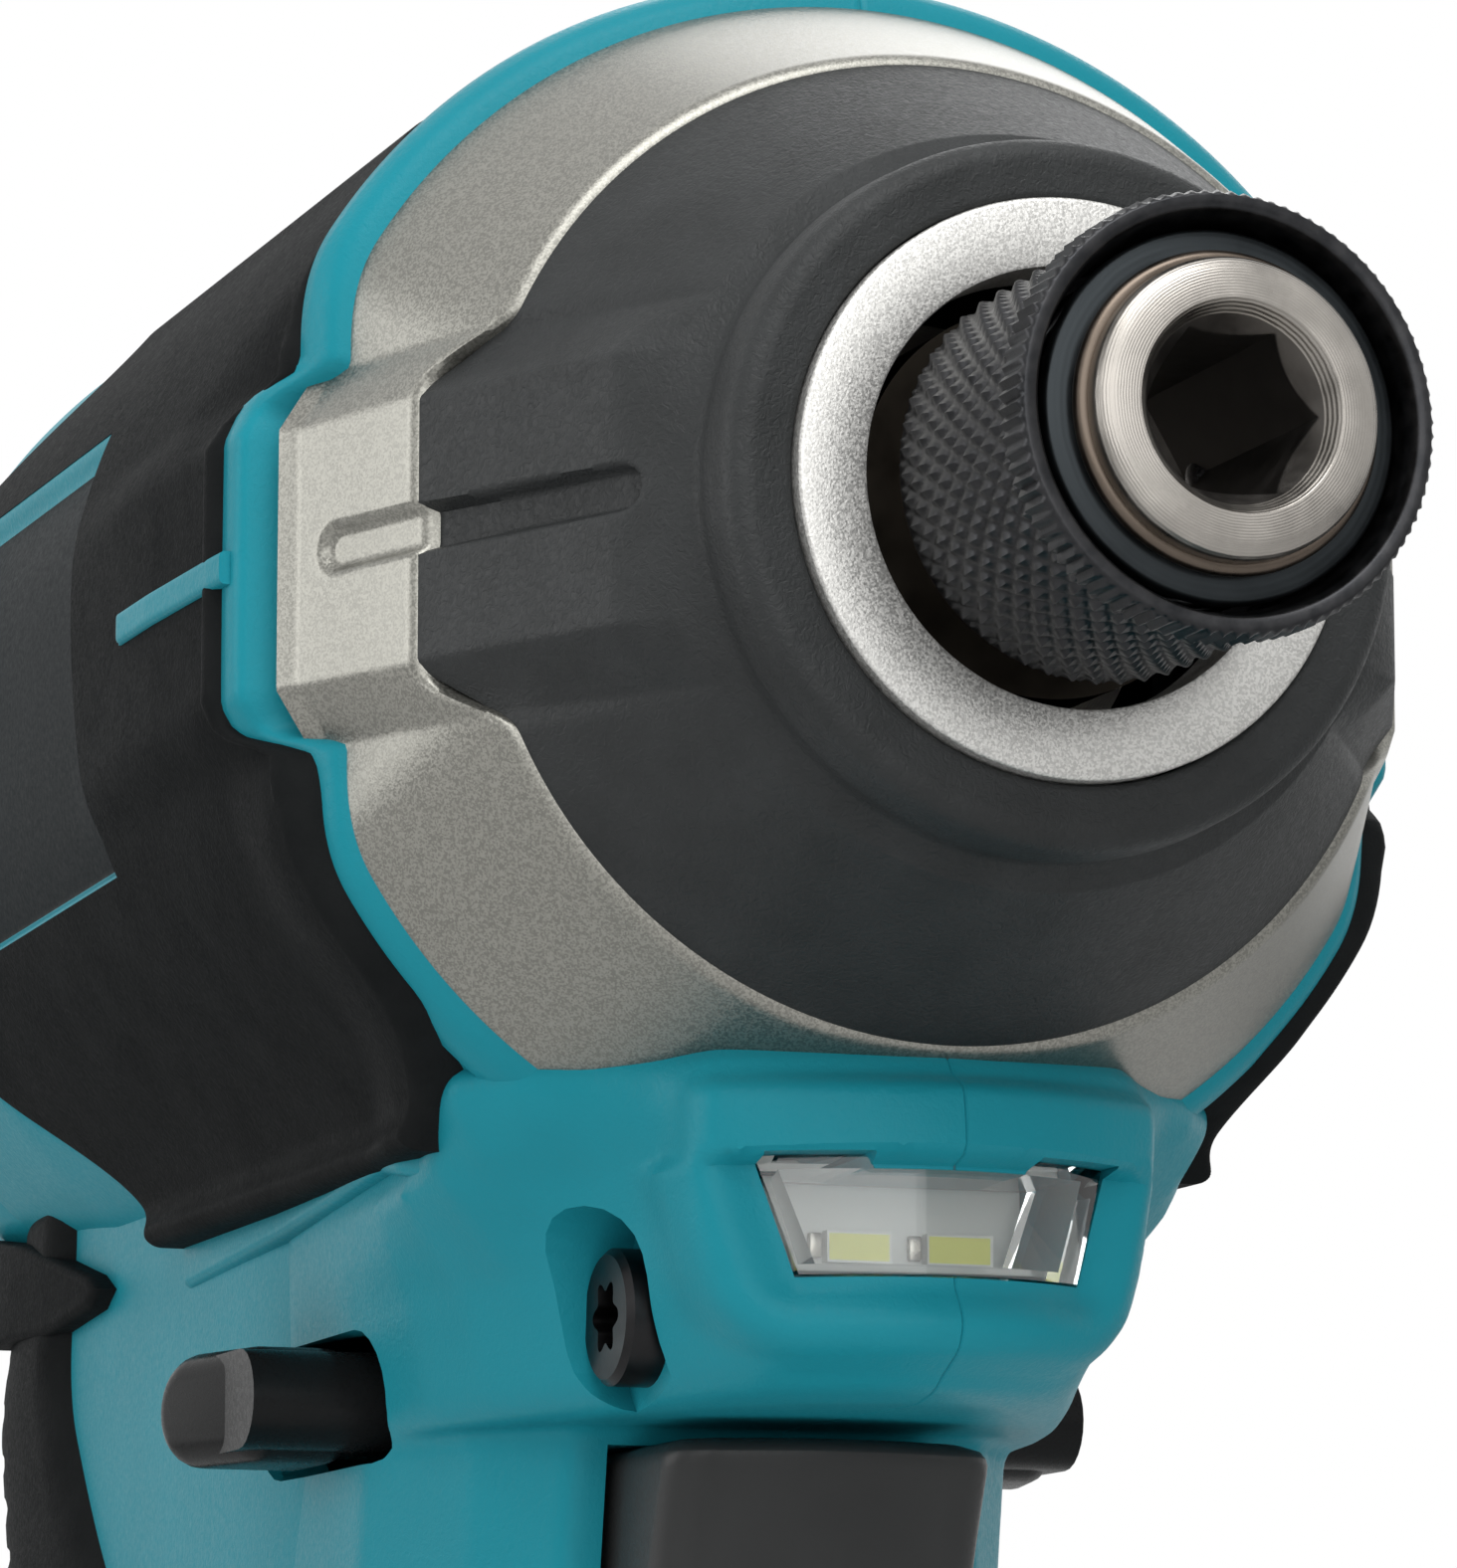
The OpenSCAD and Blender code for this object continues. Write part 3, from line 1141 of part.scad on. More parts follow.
// Contacts and leads inside the handle and foot
module terminal_block() color("#26282b") difference() {
  box([blade_x, -block_w / 2, cavity_top + seam], [blade_x + block_l, block_w / 2, cavity_top + block_h]);
  both_sides() blade(seam);
}
module blade(grow)
  box([blade_x + blade_set - grow, -blade_y - blade_t_thick / 2 - grow, cavity_top - blade_h],
    [blade_x + blade_set + blade_l + grow, -blade_y + blade_t_thick / 2 + grow,
      cavity_top + block_h / 2 + grow]);
module terminal_blades() color("#c9a44a") both_sides() blade(0);
module lead_wires() color("#b02a2a") both_sides()
  translate([nose_x - switch_front - switch_l + face_gap + 2 * wire_r, -wire_y, cavity_top + block_h])
    cylinder(r = wire_r, h = axis_h - switch_top - switch_h - cavity_top - block_h);

// Battery: lower tray, upper case with rails and riser, cells, contacts, screws, release button
module case_block(z_low, z_high) intersection() {
  translate([0, 0, z_low]) linear_extrude(z_high - z_low) polygon(rounded(battery_l, battery_w, case_corner));
  translate([0, battery_w / 2 + over, battery_h]) rotate([90, 0, 0]) linear_extrude(battery_w + 2 * over)
    polygon(rounded(battery_l, 2 * battery_h, case_low_edge));
  translate([-battery_l / 2 - over, 0, battery_h]) rotate([90, 0, 90]) linear_extrude(battery_l + 2 * over)
    polygon(rounded(battery_w, 2 * battery_h, case_low_edge));
}
cell_room_l = cell_columns * cell_pitch;
cell_room_h = cell_rows * cell_pitch;
module cell_room() box([-cell_room_l / 2, -cell_l / 2 - slide_gap, cell_floor],
  [cell_room_l / 2, cell_l / 2 + slide_gap, cell_floor + cell_room_h + slide_gap]);
module battery_lower_case() color("#202124") difference() {
  case_block(0, lower_h);
  cell_room();
  battery_screw_holes();
}
module battery_screw_holes() for (x = [-1, 1], y = [-1, 1])
  translate([x * battery_screw_x, y * battery_screw_y, -over]) {
    cylinder(r = battery_screw_r + seam, h = battery_head_set + battery_screw_l + over + seam);
    cylinder(r = battery_screw_head_r + slide_gap, h = battery_head_set + battery_head_t + over);
  }
module battery_upper_case() color("#26272a") difference() {
  union() {
    case_block(lower_h, battery_h);
    box([rail_rear, -rail_neck_w / 2, battery_h - over],
      [rail_front, rail_neck_w / 2, cavity_top - slide_gap]);
    box([rail_rear, -rail_w / 2, cavity_top - slide_gap - rail_lip],
      [rail_front, rail_w / 2, cavity_top - slide_gap]);
    intersection() {
      translate([rail_front, -battery_w / 2, battery_h - over])
        cube([battery_l / 2 - rail_front, battery_w, riser_h + over]);
      linear_extrude(battery_h + riser_h + over) polygon(rounded(battery_l, battery_w, case_corner));
      translate([-battery_l / 2, 0, 0]) rotate([90, 0, 90]) linear_extrude(battery_l)
        polygon(concat([[battery_w / 2, 0], [battery_w / 2, battery_h]],
          arc(battery_w / 2 - riser_h, battery_h, riser_h, 0, 90, 5),
          arc(riser_h - battery_w / 2, battery_h, riser_h, 90, 180, 5), [[-battery_w / 2, 0]]));
    }
  }
  battery_screw_holes();
  button_room();
  cell_room();
  both_sides() box([rail_rear - over, -blade_y - clip_slot / 2, cavity_top - blade_h - face_gap],
    [blade_x + blade_l + clip_room, -blade_y + clip_slot / 2, cavity_top]);
}
button_low = battery_h + riser_h - riser_edge / 2 - button_h;
module button_room() box(
  [battery_l / 2 - button_t, -button_w / 2 - slide_gap, button_low - button_travel - slide_gap],
  [battery_l / 2 + over, button_w / 2 + slide_gap, button_low + button_h + slide_gap]);
module battery_cells() color("#3f6f9f") for (i = [0:cell_columns - 1], k = [0:cell_rows - 1])
  translate([(i - (cell_columns - 1) / 2) * cell_pitch, cell_l / 2, cell_floor + (k + 0.5) * cell_pitch])
    rotate([90, 0, 0]) cylinder(r = cell_r, h = cell_l);
module battery_terminals() color("#c9a44a") both_sides() for (side = [-1, 1])
  translate([0, side * (clip_slot / 2 - clip_t / 2 - seam), 0])
    box([blade_x + blade_set, -blade_y - clip_t / 2, cavity_top - blade_h - face_gap],
      [blade_x + blade_set + clip_l, clip_t / 2 - blade_y, cavity_top - blade_h - face_gap + clip_h]);
module battery_screws() color("#2a2a2c") for (x = [-1, 1], y = [-1, 1])
  translate([x * battery_screw_x, y * battery_screw_y, battery_head_set]) {
    cylinder(r = battery_screw_head_r, h = battery_head_t);
    cylinder(r = battery_screw_r, h = battery_screw_l);
  }
module release_button() color("#8f1f24") difference() {
  translate([battery_l / 2 - button_t + slide_gap, 0, button_low]) rotate([90, 0, 90])
    linear_extrude(button_t - 2 * slide_gap) translate([0, button_h / 2])
      polygon(rounded(button_w, button_h, button_edge));
  for (i = [1:button_grip_count])
    box([battery_l / 2 - slide_gap - button_grip_t, -button_w / 2 + button_edge,
      button_low + i * button_h / (button_grip_count + 1) - button_grip_t / 2],
      [battery_l / 2 + over, button_w / 2 - button_edge,
        button_low + i * button_h / (button_grip_count + 1) + button_grip_t / 2]);
}

housing_right();
housing_left();
side_panel_right();
side_panel_left();
recess_plate();
grip_right();
grip_left();
rear_cover();
rear_cover_screws();
housing_screws();
hammer_case();
nose_bumper();
anvil_bush();
ring_gear();
gear_plate();
spindle_bearing();
motor_front_bearing();
motor_rear_bearing();
yoke();
magnets();
brush_holder();
carbon_brushes();
lamp_board();
lamp_chips();
lamp_lens();
switch_body();
terminal_block();
terminal_blades();
lead_wires();
armature_shaft();
armature_core();
windings();
commutator();
fan();
spindle();
planet_pins();
planet_gear_upper();
planet_gear_lower();
hammer();
cam_balls();
hammer_spring();
anvil();
detent_balls();
sleeve_washer();
retaining_ring();
bit_sleeve();
sleeve_spring();
trigger();
trigger_plunger();
trigger_spring();
reverse_lever();
battery_lower_case();
battery_upper_case();
battery_cells();
battery_terminals();
battery_screws();
release_button();
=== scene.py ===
# %% [markdown]
# # A cordless impact driver, dressed around its CAD frame
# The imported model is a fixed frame: every body, joint and size is settled in it. This lesson adds the
# looks. It loads the frame first, because each new piece is placed in the frame's own coordinates and
# rides on one of its bodies.

# %% Load the frame
import json
import math

import bmesh
import bpy
from mathutils import Matrix, Vector

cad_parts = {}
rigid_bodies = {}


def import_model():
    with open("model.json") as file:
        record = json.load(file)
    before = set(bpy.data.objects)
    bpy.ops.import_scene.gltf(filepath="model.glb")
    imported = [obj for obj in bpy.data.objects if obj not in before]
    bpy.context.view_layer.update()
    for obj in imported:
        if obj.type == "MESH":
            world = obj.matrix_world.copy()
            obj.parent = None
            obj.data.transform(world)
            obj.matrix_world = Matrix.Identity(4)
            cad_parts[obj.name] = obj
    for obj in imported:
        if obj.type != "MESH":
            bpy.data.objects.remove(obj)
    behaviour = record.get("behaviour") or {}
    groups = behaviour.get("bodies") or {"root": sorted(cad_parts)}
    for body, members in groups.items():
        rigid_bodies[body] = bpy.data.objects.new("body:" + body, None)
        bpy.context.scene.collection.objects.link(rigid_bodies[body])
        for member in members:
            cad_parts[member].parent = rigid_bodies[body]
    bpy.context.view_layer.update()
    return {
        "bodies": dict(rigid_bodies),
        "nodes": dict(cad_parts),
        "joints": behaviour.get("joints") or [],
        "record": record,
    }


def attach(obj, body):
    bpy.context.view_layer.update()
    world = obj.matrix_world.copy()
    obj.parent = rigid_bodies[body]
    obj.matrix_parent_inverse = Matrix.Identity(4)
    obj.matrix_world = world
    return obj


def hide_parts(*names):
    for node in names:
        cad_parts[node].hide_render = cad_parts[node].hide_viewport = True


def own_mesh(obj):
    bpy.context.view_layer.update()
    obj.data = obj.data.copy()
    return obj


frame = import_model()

nodes = frame["nodes"]

# %% [markdown]
# ## Working in millimetres from the nose
# A toolmaker measures this tool from its bright nose ring: forward along the spindle, left, and up.
# Each bmesh is therefore shaped in millimetres from the nose, and one matrix puts it into the frame,
# so that the finished object sits at the origin with its place in its mesh.

# %% Helpers that every piece uses
MM = 0.001
NOSE_X, NOSE_Z = 55.5, 209.5
NOSE = Matrix.Translation((NOSE_X * MM, 0.0, NOSE_Z * MM)) @ Matrix.Scale(MM, 4)


def ease(a, b, x):
    """A smooth step from 0 at a to 1 at b."""
    t = min(1.0, max(0.0, (x - a) / (b - a)))
    return t * t * (3 - 2 * t)


def along(points, x):
    """The height of a bent line of (x, height) points at x."""
    if (x - points[0][0]) * (points[-1][0] - points[0][0]) <= 0:
        return points[0][1]
    for (x0, y0), (x1, y1) in zip(points, points[1:]):
        if (x - x1) * (x1 - x0) <= 0:
            return y0 + (y1 - y0) * (x - x0) / (x1 - x0)
    return points[-1][1]


def soft_min(a, b, r):
    """The lesser of two heights, with a round of about r where they cross."""
    h = max(r - abs(a - b), 0.0) / r
    return min(a, b) - h * h * r / 4


def corner(centre, r, start, end, steps):
    """Points on an arc in a turning profile, angles in degrees from the spindle direction."""
    turn = [math.radians(start + (end - start) * i / steps) for i in range(steps + 1)]
    return [(centre[0] + r * math.cos(a), centre[1] + r * math.sin(a)) for a in turn]


def fine(profile, step):
    """The same profile with points no further apart than step."""
    out = [profile[0]]
    for (u0, r0), (u1, r1) in zip(profile, profile[1:]):
        n = max(1, math.ceil(math.hypot(u1 - u0, r1 - r0) / step))
        out += [(u0 + (u1 - u0) * i / n, r0 + (r1 - r0) * i / n) for i in range(1, n + 1)]
    return out


def new_points(result):
    """The vertices among what a bmesh operator made."""
    return [g for g in result["geom"] if isinstance(g, bmesh.types.BMVert)]


def outward(bm):
    """Turns every face outwards."""
    bmesh.ops.recalc_face_normals(bm, faces=bm.faces)
    return bm


def spun(profile, steps, ring=False):
    """Turns a profile of (u, radius) points round the spindle axis, one eighth first and then copies."""
    bm = bmesh.new()
    line = [bm.verts.new((u, 0.0, r)) for u, r in profile]
    edges = [bm.edges.new(pair) for pair in zip(line, line[1:])]
    if ring:
        edges.append(bm.edges.new((line[-1], line[0])))
    bmesh.ops.spin(bm, geom=line + edges, cent=(0, 0, 0), axis=(1, 0, 0), angle=math.pi / 4,
                   steps=steps // 8)
    for turn in (math.pi / 4, math.pi / 2, math.pi):
        more = bmesh.ops.duplicate(bm, geom=bm.verts[:] + bm.edges[:] + bm.faces[:])
        bmesh.ops.rotate(bm, cent=(0, 0, 0), matrix=Matrix.Rotation(turn, 3, "X"), verts=new_points(more))
    bmesh.ops.remove_doubles(bm, verts=bm.verts, dist=1e-3)
    return outward(bm)


def placed(name, data):
    """A new object in the scene."""
    made = bpy.data.objects.new(name, data)
    bpy.context.scene.collection.objects.link(made)
    return made


def piece(bm, name, body, replaced, slot, finish, place=NOSE, sharp=None, second=None, where=None):
    """Places a bmesh in the frame and makes it ride on its body; where(point) picks a second finish."""
    if where:
        for f in bm.faces:
            f.material_index = 1 if where(f.calc_center_median()) else 0
    bmesh.ops.transform(bm, matrix=place, verts=bm.verts)
    mesh = bpy.data.meshes.new(name)
    bm.to_mesh(mesh)
    bm.free()
    mesh.polygons.foreach_set("use_smooth", [True] * len(mesh.polygons))
    if sharp:
        mesh.set_sharp_from_angle(angle=math.radians(sharp))
    made = placed(name, mesh)
    for coat in [finish] + ([second] if second else []):
        mesh.materials.append(coat)
    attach(made, body)
    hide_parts(*replaced)
    print(name, len(mesh.polygons), "faces")
    return made


# %% [markdown]
# ## Camera
# The photograph looks at the nose from the tool's right, from a little below, at close range. The
# camera's place was found from the circles of the nose ring, the sleeve and the anvil tip.

# %% Camera
camera = placed("camera", bpy.data.cameras.new("camera"))
right = Vector((0.351, 0.93638, 0.0)).normalized()
back = Vector((0.92312, -0.34603, -0.16767)).normalized()
up = back.cross(right).normalized()
camera.matrix_world = Matrix.Translation((0.3182, -0.1141, 0.1482)) @ Matrix(
    (right, up, back)).transposed().to_4x4()
camera.data.sensor_fit = "VERTICAL"
camera.data.sensor_height = 36.0
camera.data.lens = 159.9
camera.data.clip_start = 0.01
bpy.context.scene.camera = camera
print("camera", [round(c, 3) for c in camera.location])

# %% [markdown]
# ## Finishes
# Each finish is built from nodes that read Object coordinates, so a grain keeps its real size on every
# piece. A helper makes the Principled shader and a bump, and each finish adds its own pattern.

# %% Finish helpers
def finish_base(name, colour, roughness, metallic=0.0):
    """A new material with its Principled shader set; returns the material, its nodes and links."""
    made = bpy.data.materials.new(name)
    made.use_nodes = True
    tree = made.node_tree
    shader = tree.nodes["Principled BSDF"]
    shader.inputs["Base Color"].default_value = (*colour, 1)
    shader.inputs["Roughness"].default_value = roughness
    shader.inputs["Metallic"].default_value = metallic
    return made, tree, shader


def add(tree, kind, **sockets):
    """Adds a node and sets its sockets by name; a node output given as a value is linked."""
    node = tree.nodes.new(kind)
    for key, value in sockets.items():
        socket = node.inputs[key.replace("_", " ")]
        if isinstance(value, bpy.types.NodeSocket):
            tree.links.new(value, socket)
        else:
            socket.default_value = value
    return node


def object_coordinates(tree):
    return tree.nodes.new("ShaderNodeTexCoord").outputs["Object"]


def grain(tree, coordinates, size, detail=2.0, distortion=0.0):
    """A noise whose features are about the given size in millimetres."""
    node = add(tree, "ShaderNodeTexNoise", Vector=coordinates, Scale=1 / (size * MM), Detail=detail,
               Roughness=0.55, Distortion=distortion)
    return node.outputs["Fac"]


def spread(tree, value, low, high, from_low=0.3, from_high=0.7):
    """Maps a pattern value onto a range of numbers."""
    return add(tree, "ShaderNodeMapRange", Value=value, From_Min=from_low, From_Max=from_high,
               To_Min=low, To_Max=high).outputs["Result"]


def two_tone(tree, value, dark, light):
    """Mixes two colours by a pattern value."""
    ramp = tree.nodes.new("ShaderNodeValToRGB")
    ramp.color_ramp.elements[0].position = 0.3
    ramp.color_ramp.elements[1].position = 0.7
    ramp.color_ramp.elements[0].color = (*dark, 1)
    ramp.color_ramp.elements[1].color = (*light, 1)
    tree.links.new(value, ramp.inputs["Fac"])
    return ramp.outputs["Color"]


def relief(tree, shader, height, depth_mm, strength):
    """Bump of a real depth in millimetres."""
    bump = add(tree, "ShaderNodeBump", Height=height, Strength=strength, Distance=depth_mm * MM)
    tree.links.new(bump.outputs["Normal"], shader.inputs["Normal"])


# %% [markdown]
# Teal moulded plastic, with the fine leathery grain of a spark-eroded mould and slight colour drift.

# %% Teal plastic
def moulding_finish(name, dark, light, roughness, depth, gloss=0.25):
    made, tree, shader = finish_base(name, dark, roughness)
    shader.inputs["Specular IOR Level"].default_value = gloss
    at = object_coordinates(tree)
    tree.links.new(two_tone(tree, grain(tree, at, 9.0, 3.0), dark, light), shader.inputs["Base Color"])
    skin = grain(tree, at, 0.28, 3.0, 0.6)
    tree.links.new(spread(tree, skin, roughness - 0.06, roughness + 0.08), shader.inputs["Roughness"])
    relief(tree, shader, skin, depth, 0.55)
    return made


TEAL = moulding_finish("teal_plastic", (0.0104, 0.218, 0.275), (0.0113, 0.231, 0.291), 0.38, 0.05, 0.1)
BLACK = moulding_finish("black_plastic", (0.0208, 0.0215, 0.0215), (0.0273, 0.028, 0.028), 0.4, 0.02)
PLATE = moulding_finish("dark_plate", (0.0114, 0.0142, 0.0154), (0.0138, 0.0168, 0.0182), 0.45, 0.006,
                        0.02)
LEVER_BLACK = moulding_finish("lever_black", (0.0075, 0.0078, 0.008), (0.0106, 0.011, 0.0113), 0.28,
                              0.012, 0.1)
BUTTON = moulding_finish("button_grey", (0.039, 0.04, 0.043), (0.049, 0.051, 0.053), 0.45, 0.02)
BOARD = moulding_finish("lamp_board_white", (0.76, 0.77, 0.75), (0.82, 0.83, 0.81), 0.45, 0.008)
CHIP_WHITE = moulding_finish("chip_white", (0.8, 0.8, 0.76), (0.86, 0.86, 0.82), 0.4, 0.004)
PHOSPHOR = moulding_finish("chip_phosphor", (0.88, 0.88, 0.24), (0.92, 0.92, 0.3), 0.5, 0.01)

# %% [markdown]
# Soft black rubber: a worm-like leather grain, dull, with a faint grey bloom. The side panels and the grip
# take the same rubber made darker, as painted shade.

# %% Black rubber
def rubber_finish(name, dark, light, depth, gloss):
    made, tree, shader = finish_base(name, dark, 0.55)
    shader.inputs["Specular IOR Level"].default_value = gloss
    at = object_coordinates(tree)
    bloom = grain(tree, at, 3.5, 5.0)
    tree.links.new(two_tone(tree, bloom, dark, light), shader.inputs["Base Color"])
    skin = grain(tree, at, 0.34, 2.0, 1.2)
    tree.links.new(spread(tree, skin, 0.46, 0.62), shader.inputs["Roughness"])
    relief(tree, shader, skin, depth, 0.8)
    return made


RUBBER = rubber_finish("black_rubber", (0.0167, 0.0183, 0.0186), (0.0245, 0.0264, 0.027), 0.085, 0.24)
# The same black rubber made darker for the side panels and the grip: painted shade.
SIDE_RUBBER_PAINTED_SHADE = rubber_finish("side_rubber_painted_shade", (0.0091, 0.01, 0.0103), (0.0137, 0.0147, 0.015), 0.04, 0.01)

# %% [markdown]
# The case is die cast and sprayed with silver flake paint. Small cells of a Voronoi pattern stand for
# the flakes: each one tilts and shines a little differently.

# %% Silver flake paint and the blasted nose ring
def flake_finish(name, colour, flake, roughness, depth, drift):
    made, tree, shader = finish_base(name, colour, roughness, 0.85)
    at = object_coordinates(tree)
    cells = add(tree, "ShaderNodeTexVoronoi", Vector=at, Scale=1 / (flake * MM))
    single = add(tree, "ShaderNodeSeparateColor", Color=cells.outputs["Color"]).outputs["Red"]
    low = [c * (1 - drift) for c in colour]
    high = [min(1.0, c * (1 + drift)) for c in colour]
    tree.links.new(two_tone(tree, single, low, high), shader.inputs["Base Color"])
    tree.links.new(spread(tree, single, roughness - 0.08, roughness + 0.08, 0.0, 1.0),
                   shader.inputs["Roughness"])
    relief(tree, shader, grain(tree, at, flake * 1.3, 2.0), depth, 0.7)
    return made


SILVER = flake_finish("silver_flake_paint", (0.245, 0.241, 0.216), 0.09, 0.36, 0.012, 0.2)
BLASTED = flake_finish("blasted_ring", (0.54, 0.535, 0.515), 0.1, 0.46, 0.03, 0.16)

# %% [markdown]
# Machined steel shows the turning tool's path: rings round the spindle axis. A Mapping node puts the
# middle of the ring pattern on the axis.

# %% Turned steel and black oxide
def turned_finish(name, colour, roughness, pitch, depth):
    made, tree, shader = finish_base(name, colour, roughness, 1.0)
    at = object_coordinates(tree)
    centred = add(tree, "ShaderNodeMapping", Vector=at, Location=(0, 0, -NOSE_Z * MM)).outputs["Vector"]
    rings = add(tree, "ShaderNodeTexWave", Vector=centred, Scale=0.314 / (pitch * MM), Distortion=1.5,
                Detail=2.0, Detail_Scale=0.6)
    rings.wave_type = "RINGS"
    rings.rings_direction = "X"
    stain = grain(tree, at, 2.2, 4.0)
    tree.links.new(two_tone(tree, stain, [c * 0.78 for c in colour], colour), shader.inputs["Base Color"])
    tree.links.new(spread(tree, stain, roughness - 0.06, roughness + 0.1), shader.inputs["Roughness"])
    relief(tree, shader, rings.outputs["Fac"], depth, 0.7)
    return made


TURNED = turned_finish("turned_steel", (0.365, 0.343, 0.314), 0.32, 0.12, 0.012)
WASHER = turned_finish("plated_washer", (0.034, 0.039, 0.042), 0.42, 0.3, 0.006)
SNAP_RING = turned_finish("tempered_ring", (0.13, 0.105, 0.085), 0.32, 0.3, 0.004)


def oxide_finish():
    made, tree, shader = finish_base("black_oxide", (0.02, 0.021, 0.023), 0.34, 1.0)
    at = object_coordinates(tree)
    wear = grain(tree, at, 0.9, 5.0)
    tree.links.new(two_tone(tree, wear, (0.024, 0.025, 0.027), (0.044, 0.044, 0.046)),
                   shader.inputs["Base Color"])
    tree.links.new(spread(tree, wear, 0.3, 0.46), shader.inputs["Roughness"])
    relief(tree, shader, grain(tree, at, 0.12, 2.0), 0.01, 0.5)
    return made


OXIDE = oxide_finish()

# %% [markdown]
# Plain drawn or ground steel for screws and inner parts, and the clear plastic of the lamp's lens. The
# lens is a refracting plastic; a very faint noise keeps its gloss from looking like perfect glass.

# %% Plain steel and clear plastic
def steel_finish(name, colour, roughness):
    made, tree, shader = finish_base(name, colour, roughness, 1.0)
    at = object_coordinates(tree)
    stain = grain(tree, at, 1.6, 4.0)
    tree.links.new(two_tone(tree, stain, [c * 0.75 for c in colour], colour), shader.inputs["Base Color"])
    tree.links.new(spread(tree, stain, roughness - 0.05, roughness + 0.1), shader.inputs["Roughness"])
    relief(tree, shader, grain(tree, at, 0.15, 2.0), 0.006, 0.5)
    return made


def clear_finish():
    made, tree, shader = finish_base("clear_plastic", (0.96, 0.98, 0.97), 0.03)
    shader.inputs["Transmission Weight"].default_value = 1.0
    shader.inputs["IOR"].default_value = 1.49
    relief(tree, shader, grain(tree, object_coordinates(tree), 2.5, 2.0), 0.004, 0.3)
    return made


BLACKENED = steel_finish("black_screw", (0.03, 0.03, 0.031), 0.34)
TINNED = steel_finish("tinned_ends", (0.42, 0.4, 0.36), 0.3)
# The bore's steel is darker than the tip's: painted shade for the shadow deep in the anvil's socket.
BORE_PAINTED_SHADE = steel_finish("bore_painted_shade", (0.15, 0.14, 0.13), 0.36)
CLEAR = clear_finish()
print("finishes ready")

# %% [markdown]
# ## The anvil tip
# The square-looking hole takes hexagon bits. It starts as a cone, so a bit finds its way in, and the
# cone cuts the six corners into curved points. Turning a fine profile and then moving the bore's
# points out to whichever is wider, cone or hexagon, gives those curves by themselves.

# %% Anvil
HEX_FLAT = 3.25
LEAD_R, LEAD_SLOPE, LEAD_EDGE = 4.3, 0.62, 0.12
TIP = 16.6


def hexagon_r(y, z):
    """Distance from the axis to the hexagon's wall in the direction of a point, corners to the sides."""
    turn = math.degrees(math.atan2(z, y)) % 60 - 30
    return HEX_FLAT / math.cos(math.radians(turn))


def anvil_piece():
    shaft = [(-25, 4.05), (-25, 11), (-18, 11), (-18, 6.2), (14.4, 6.2), (14.5, 5.85), (15.2, 5.85),
             (15.3, 6.2), (15.85, 6.2)] + corner((15.85, 5.5), 0.7, 88, 45, 5)
    shaft += [(TIP, 5.45), (TIP, LEAD_R + LEAD_EDGE), (TIP - LEAD_EDGE, LEAD_R)]
    bore = [(TIP - LEAD_EDGE - 0.07 * i, LEAD_R) for i in range(1, 34)]
    bore += [(9, HEX_FLAT), (2.7, HEX_FLAT), (2.6, 0)]
    bm = spun(fine(shaft, 3.0) + bore, 360)
    for v in bm.verts:
        r = math.hypot(v.co.y, v.co.z)
        if 2.65 < v.co.x < TIP - 0.15 and 1 < r < 5:
            cone = LEAD_R - (TIP - LEAD_EDGE - v.co.x) * LEAD_SLOPE
            grow = max(cone, hexagon_r(v.co.y, v.co.z)) / r
            v.co.y *= grow
            v.co.z *= grow
    # The socket's walls behind its front edge take the darker steel, as painted shade inside the hole.
    return piece(bm, "anvil_turned", "anvil", ["anvil"], "anvil_steel", TURNED, sharp=35, second=BORE_PAINTED_SHADE,
                 where=lambda c: math.hypot(c.y, c.z) < 4.25 and c.x < TIP - 0.75)


anvil_piece()

# %% [markdown]
# ## Washer and snap ring
# Inside the sleeve's rim a plated washer is held by a tempered ring of round wire, open at one side.

# %% Washer and ring
washer = [(13.8, 6.3), (14.5, 6.3), (14.5, 7.5), (14.42, 7.6), (14.3, 7.67), (13.8, 7.67)]
piece(spun(washer, 128, True), "sleeve_washer_plated", "anvil", ["sleeve_washer"], "washer_steel",
      WASHER, sharp=40)
wire = corner((14.95, 6.25), 0.42, 0, 360, 14)[:-1]
piece(spun(wire, 128, True), "snap_ring", "anvil", ["retaining_ring"], "ring_steel", SNAP_RING)

# %% [markdown]
# ## The bit sleeve
# Two families of slanting grooves cross on the sleeve and leave small pyramids, a diamond knurl. The
# front rim has straight serrations. Both are real geometry here: a fine turned surface whose points
# move in and out by the distance to the nearest groove.

# %% Sleeve
DIAMONDS, DIAMOND_L, DIAMOND_DEEP = 50, 1.9, 0.36
SERRATIONS, SERRATION_DEEP = 96, 0.28


def groove_rise(turns):
    """0 in the middle of a groove, 1 midway between two grooves."""
    return 1 - 2 * abs(turns % 1.0 - 0.5)


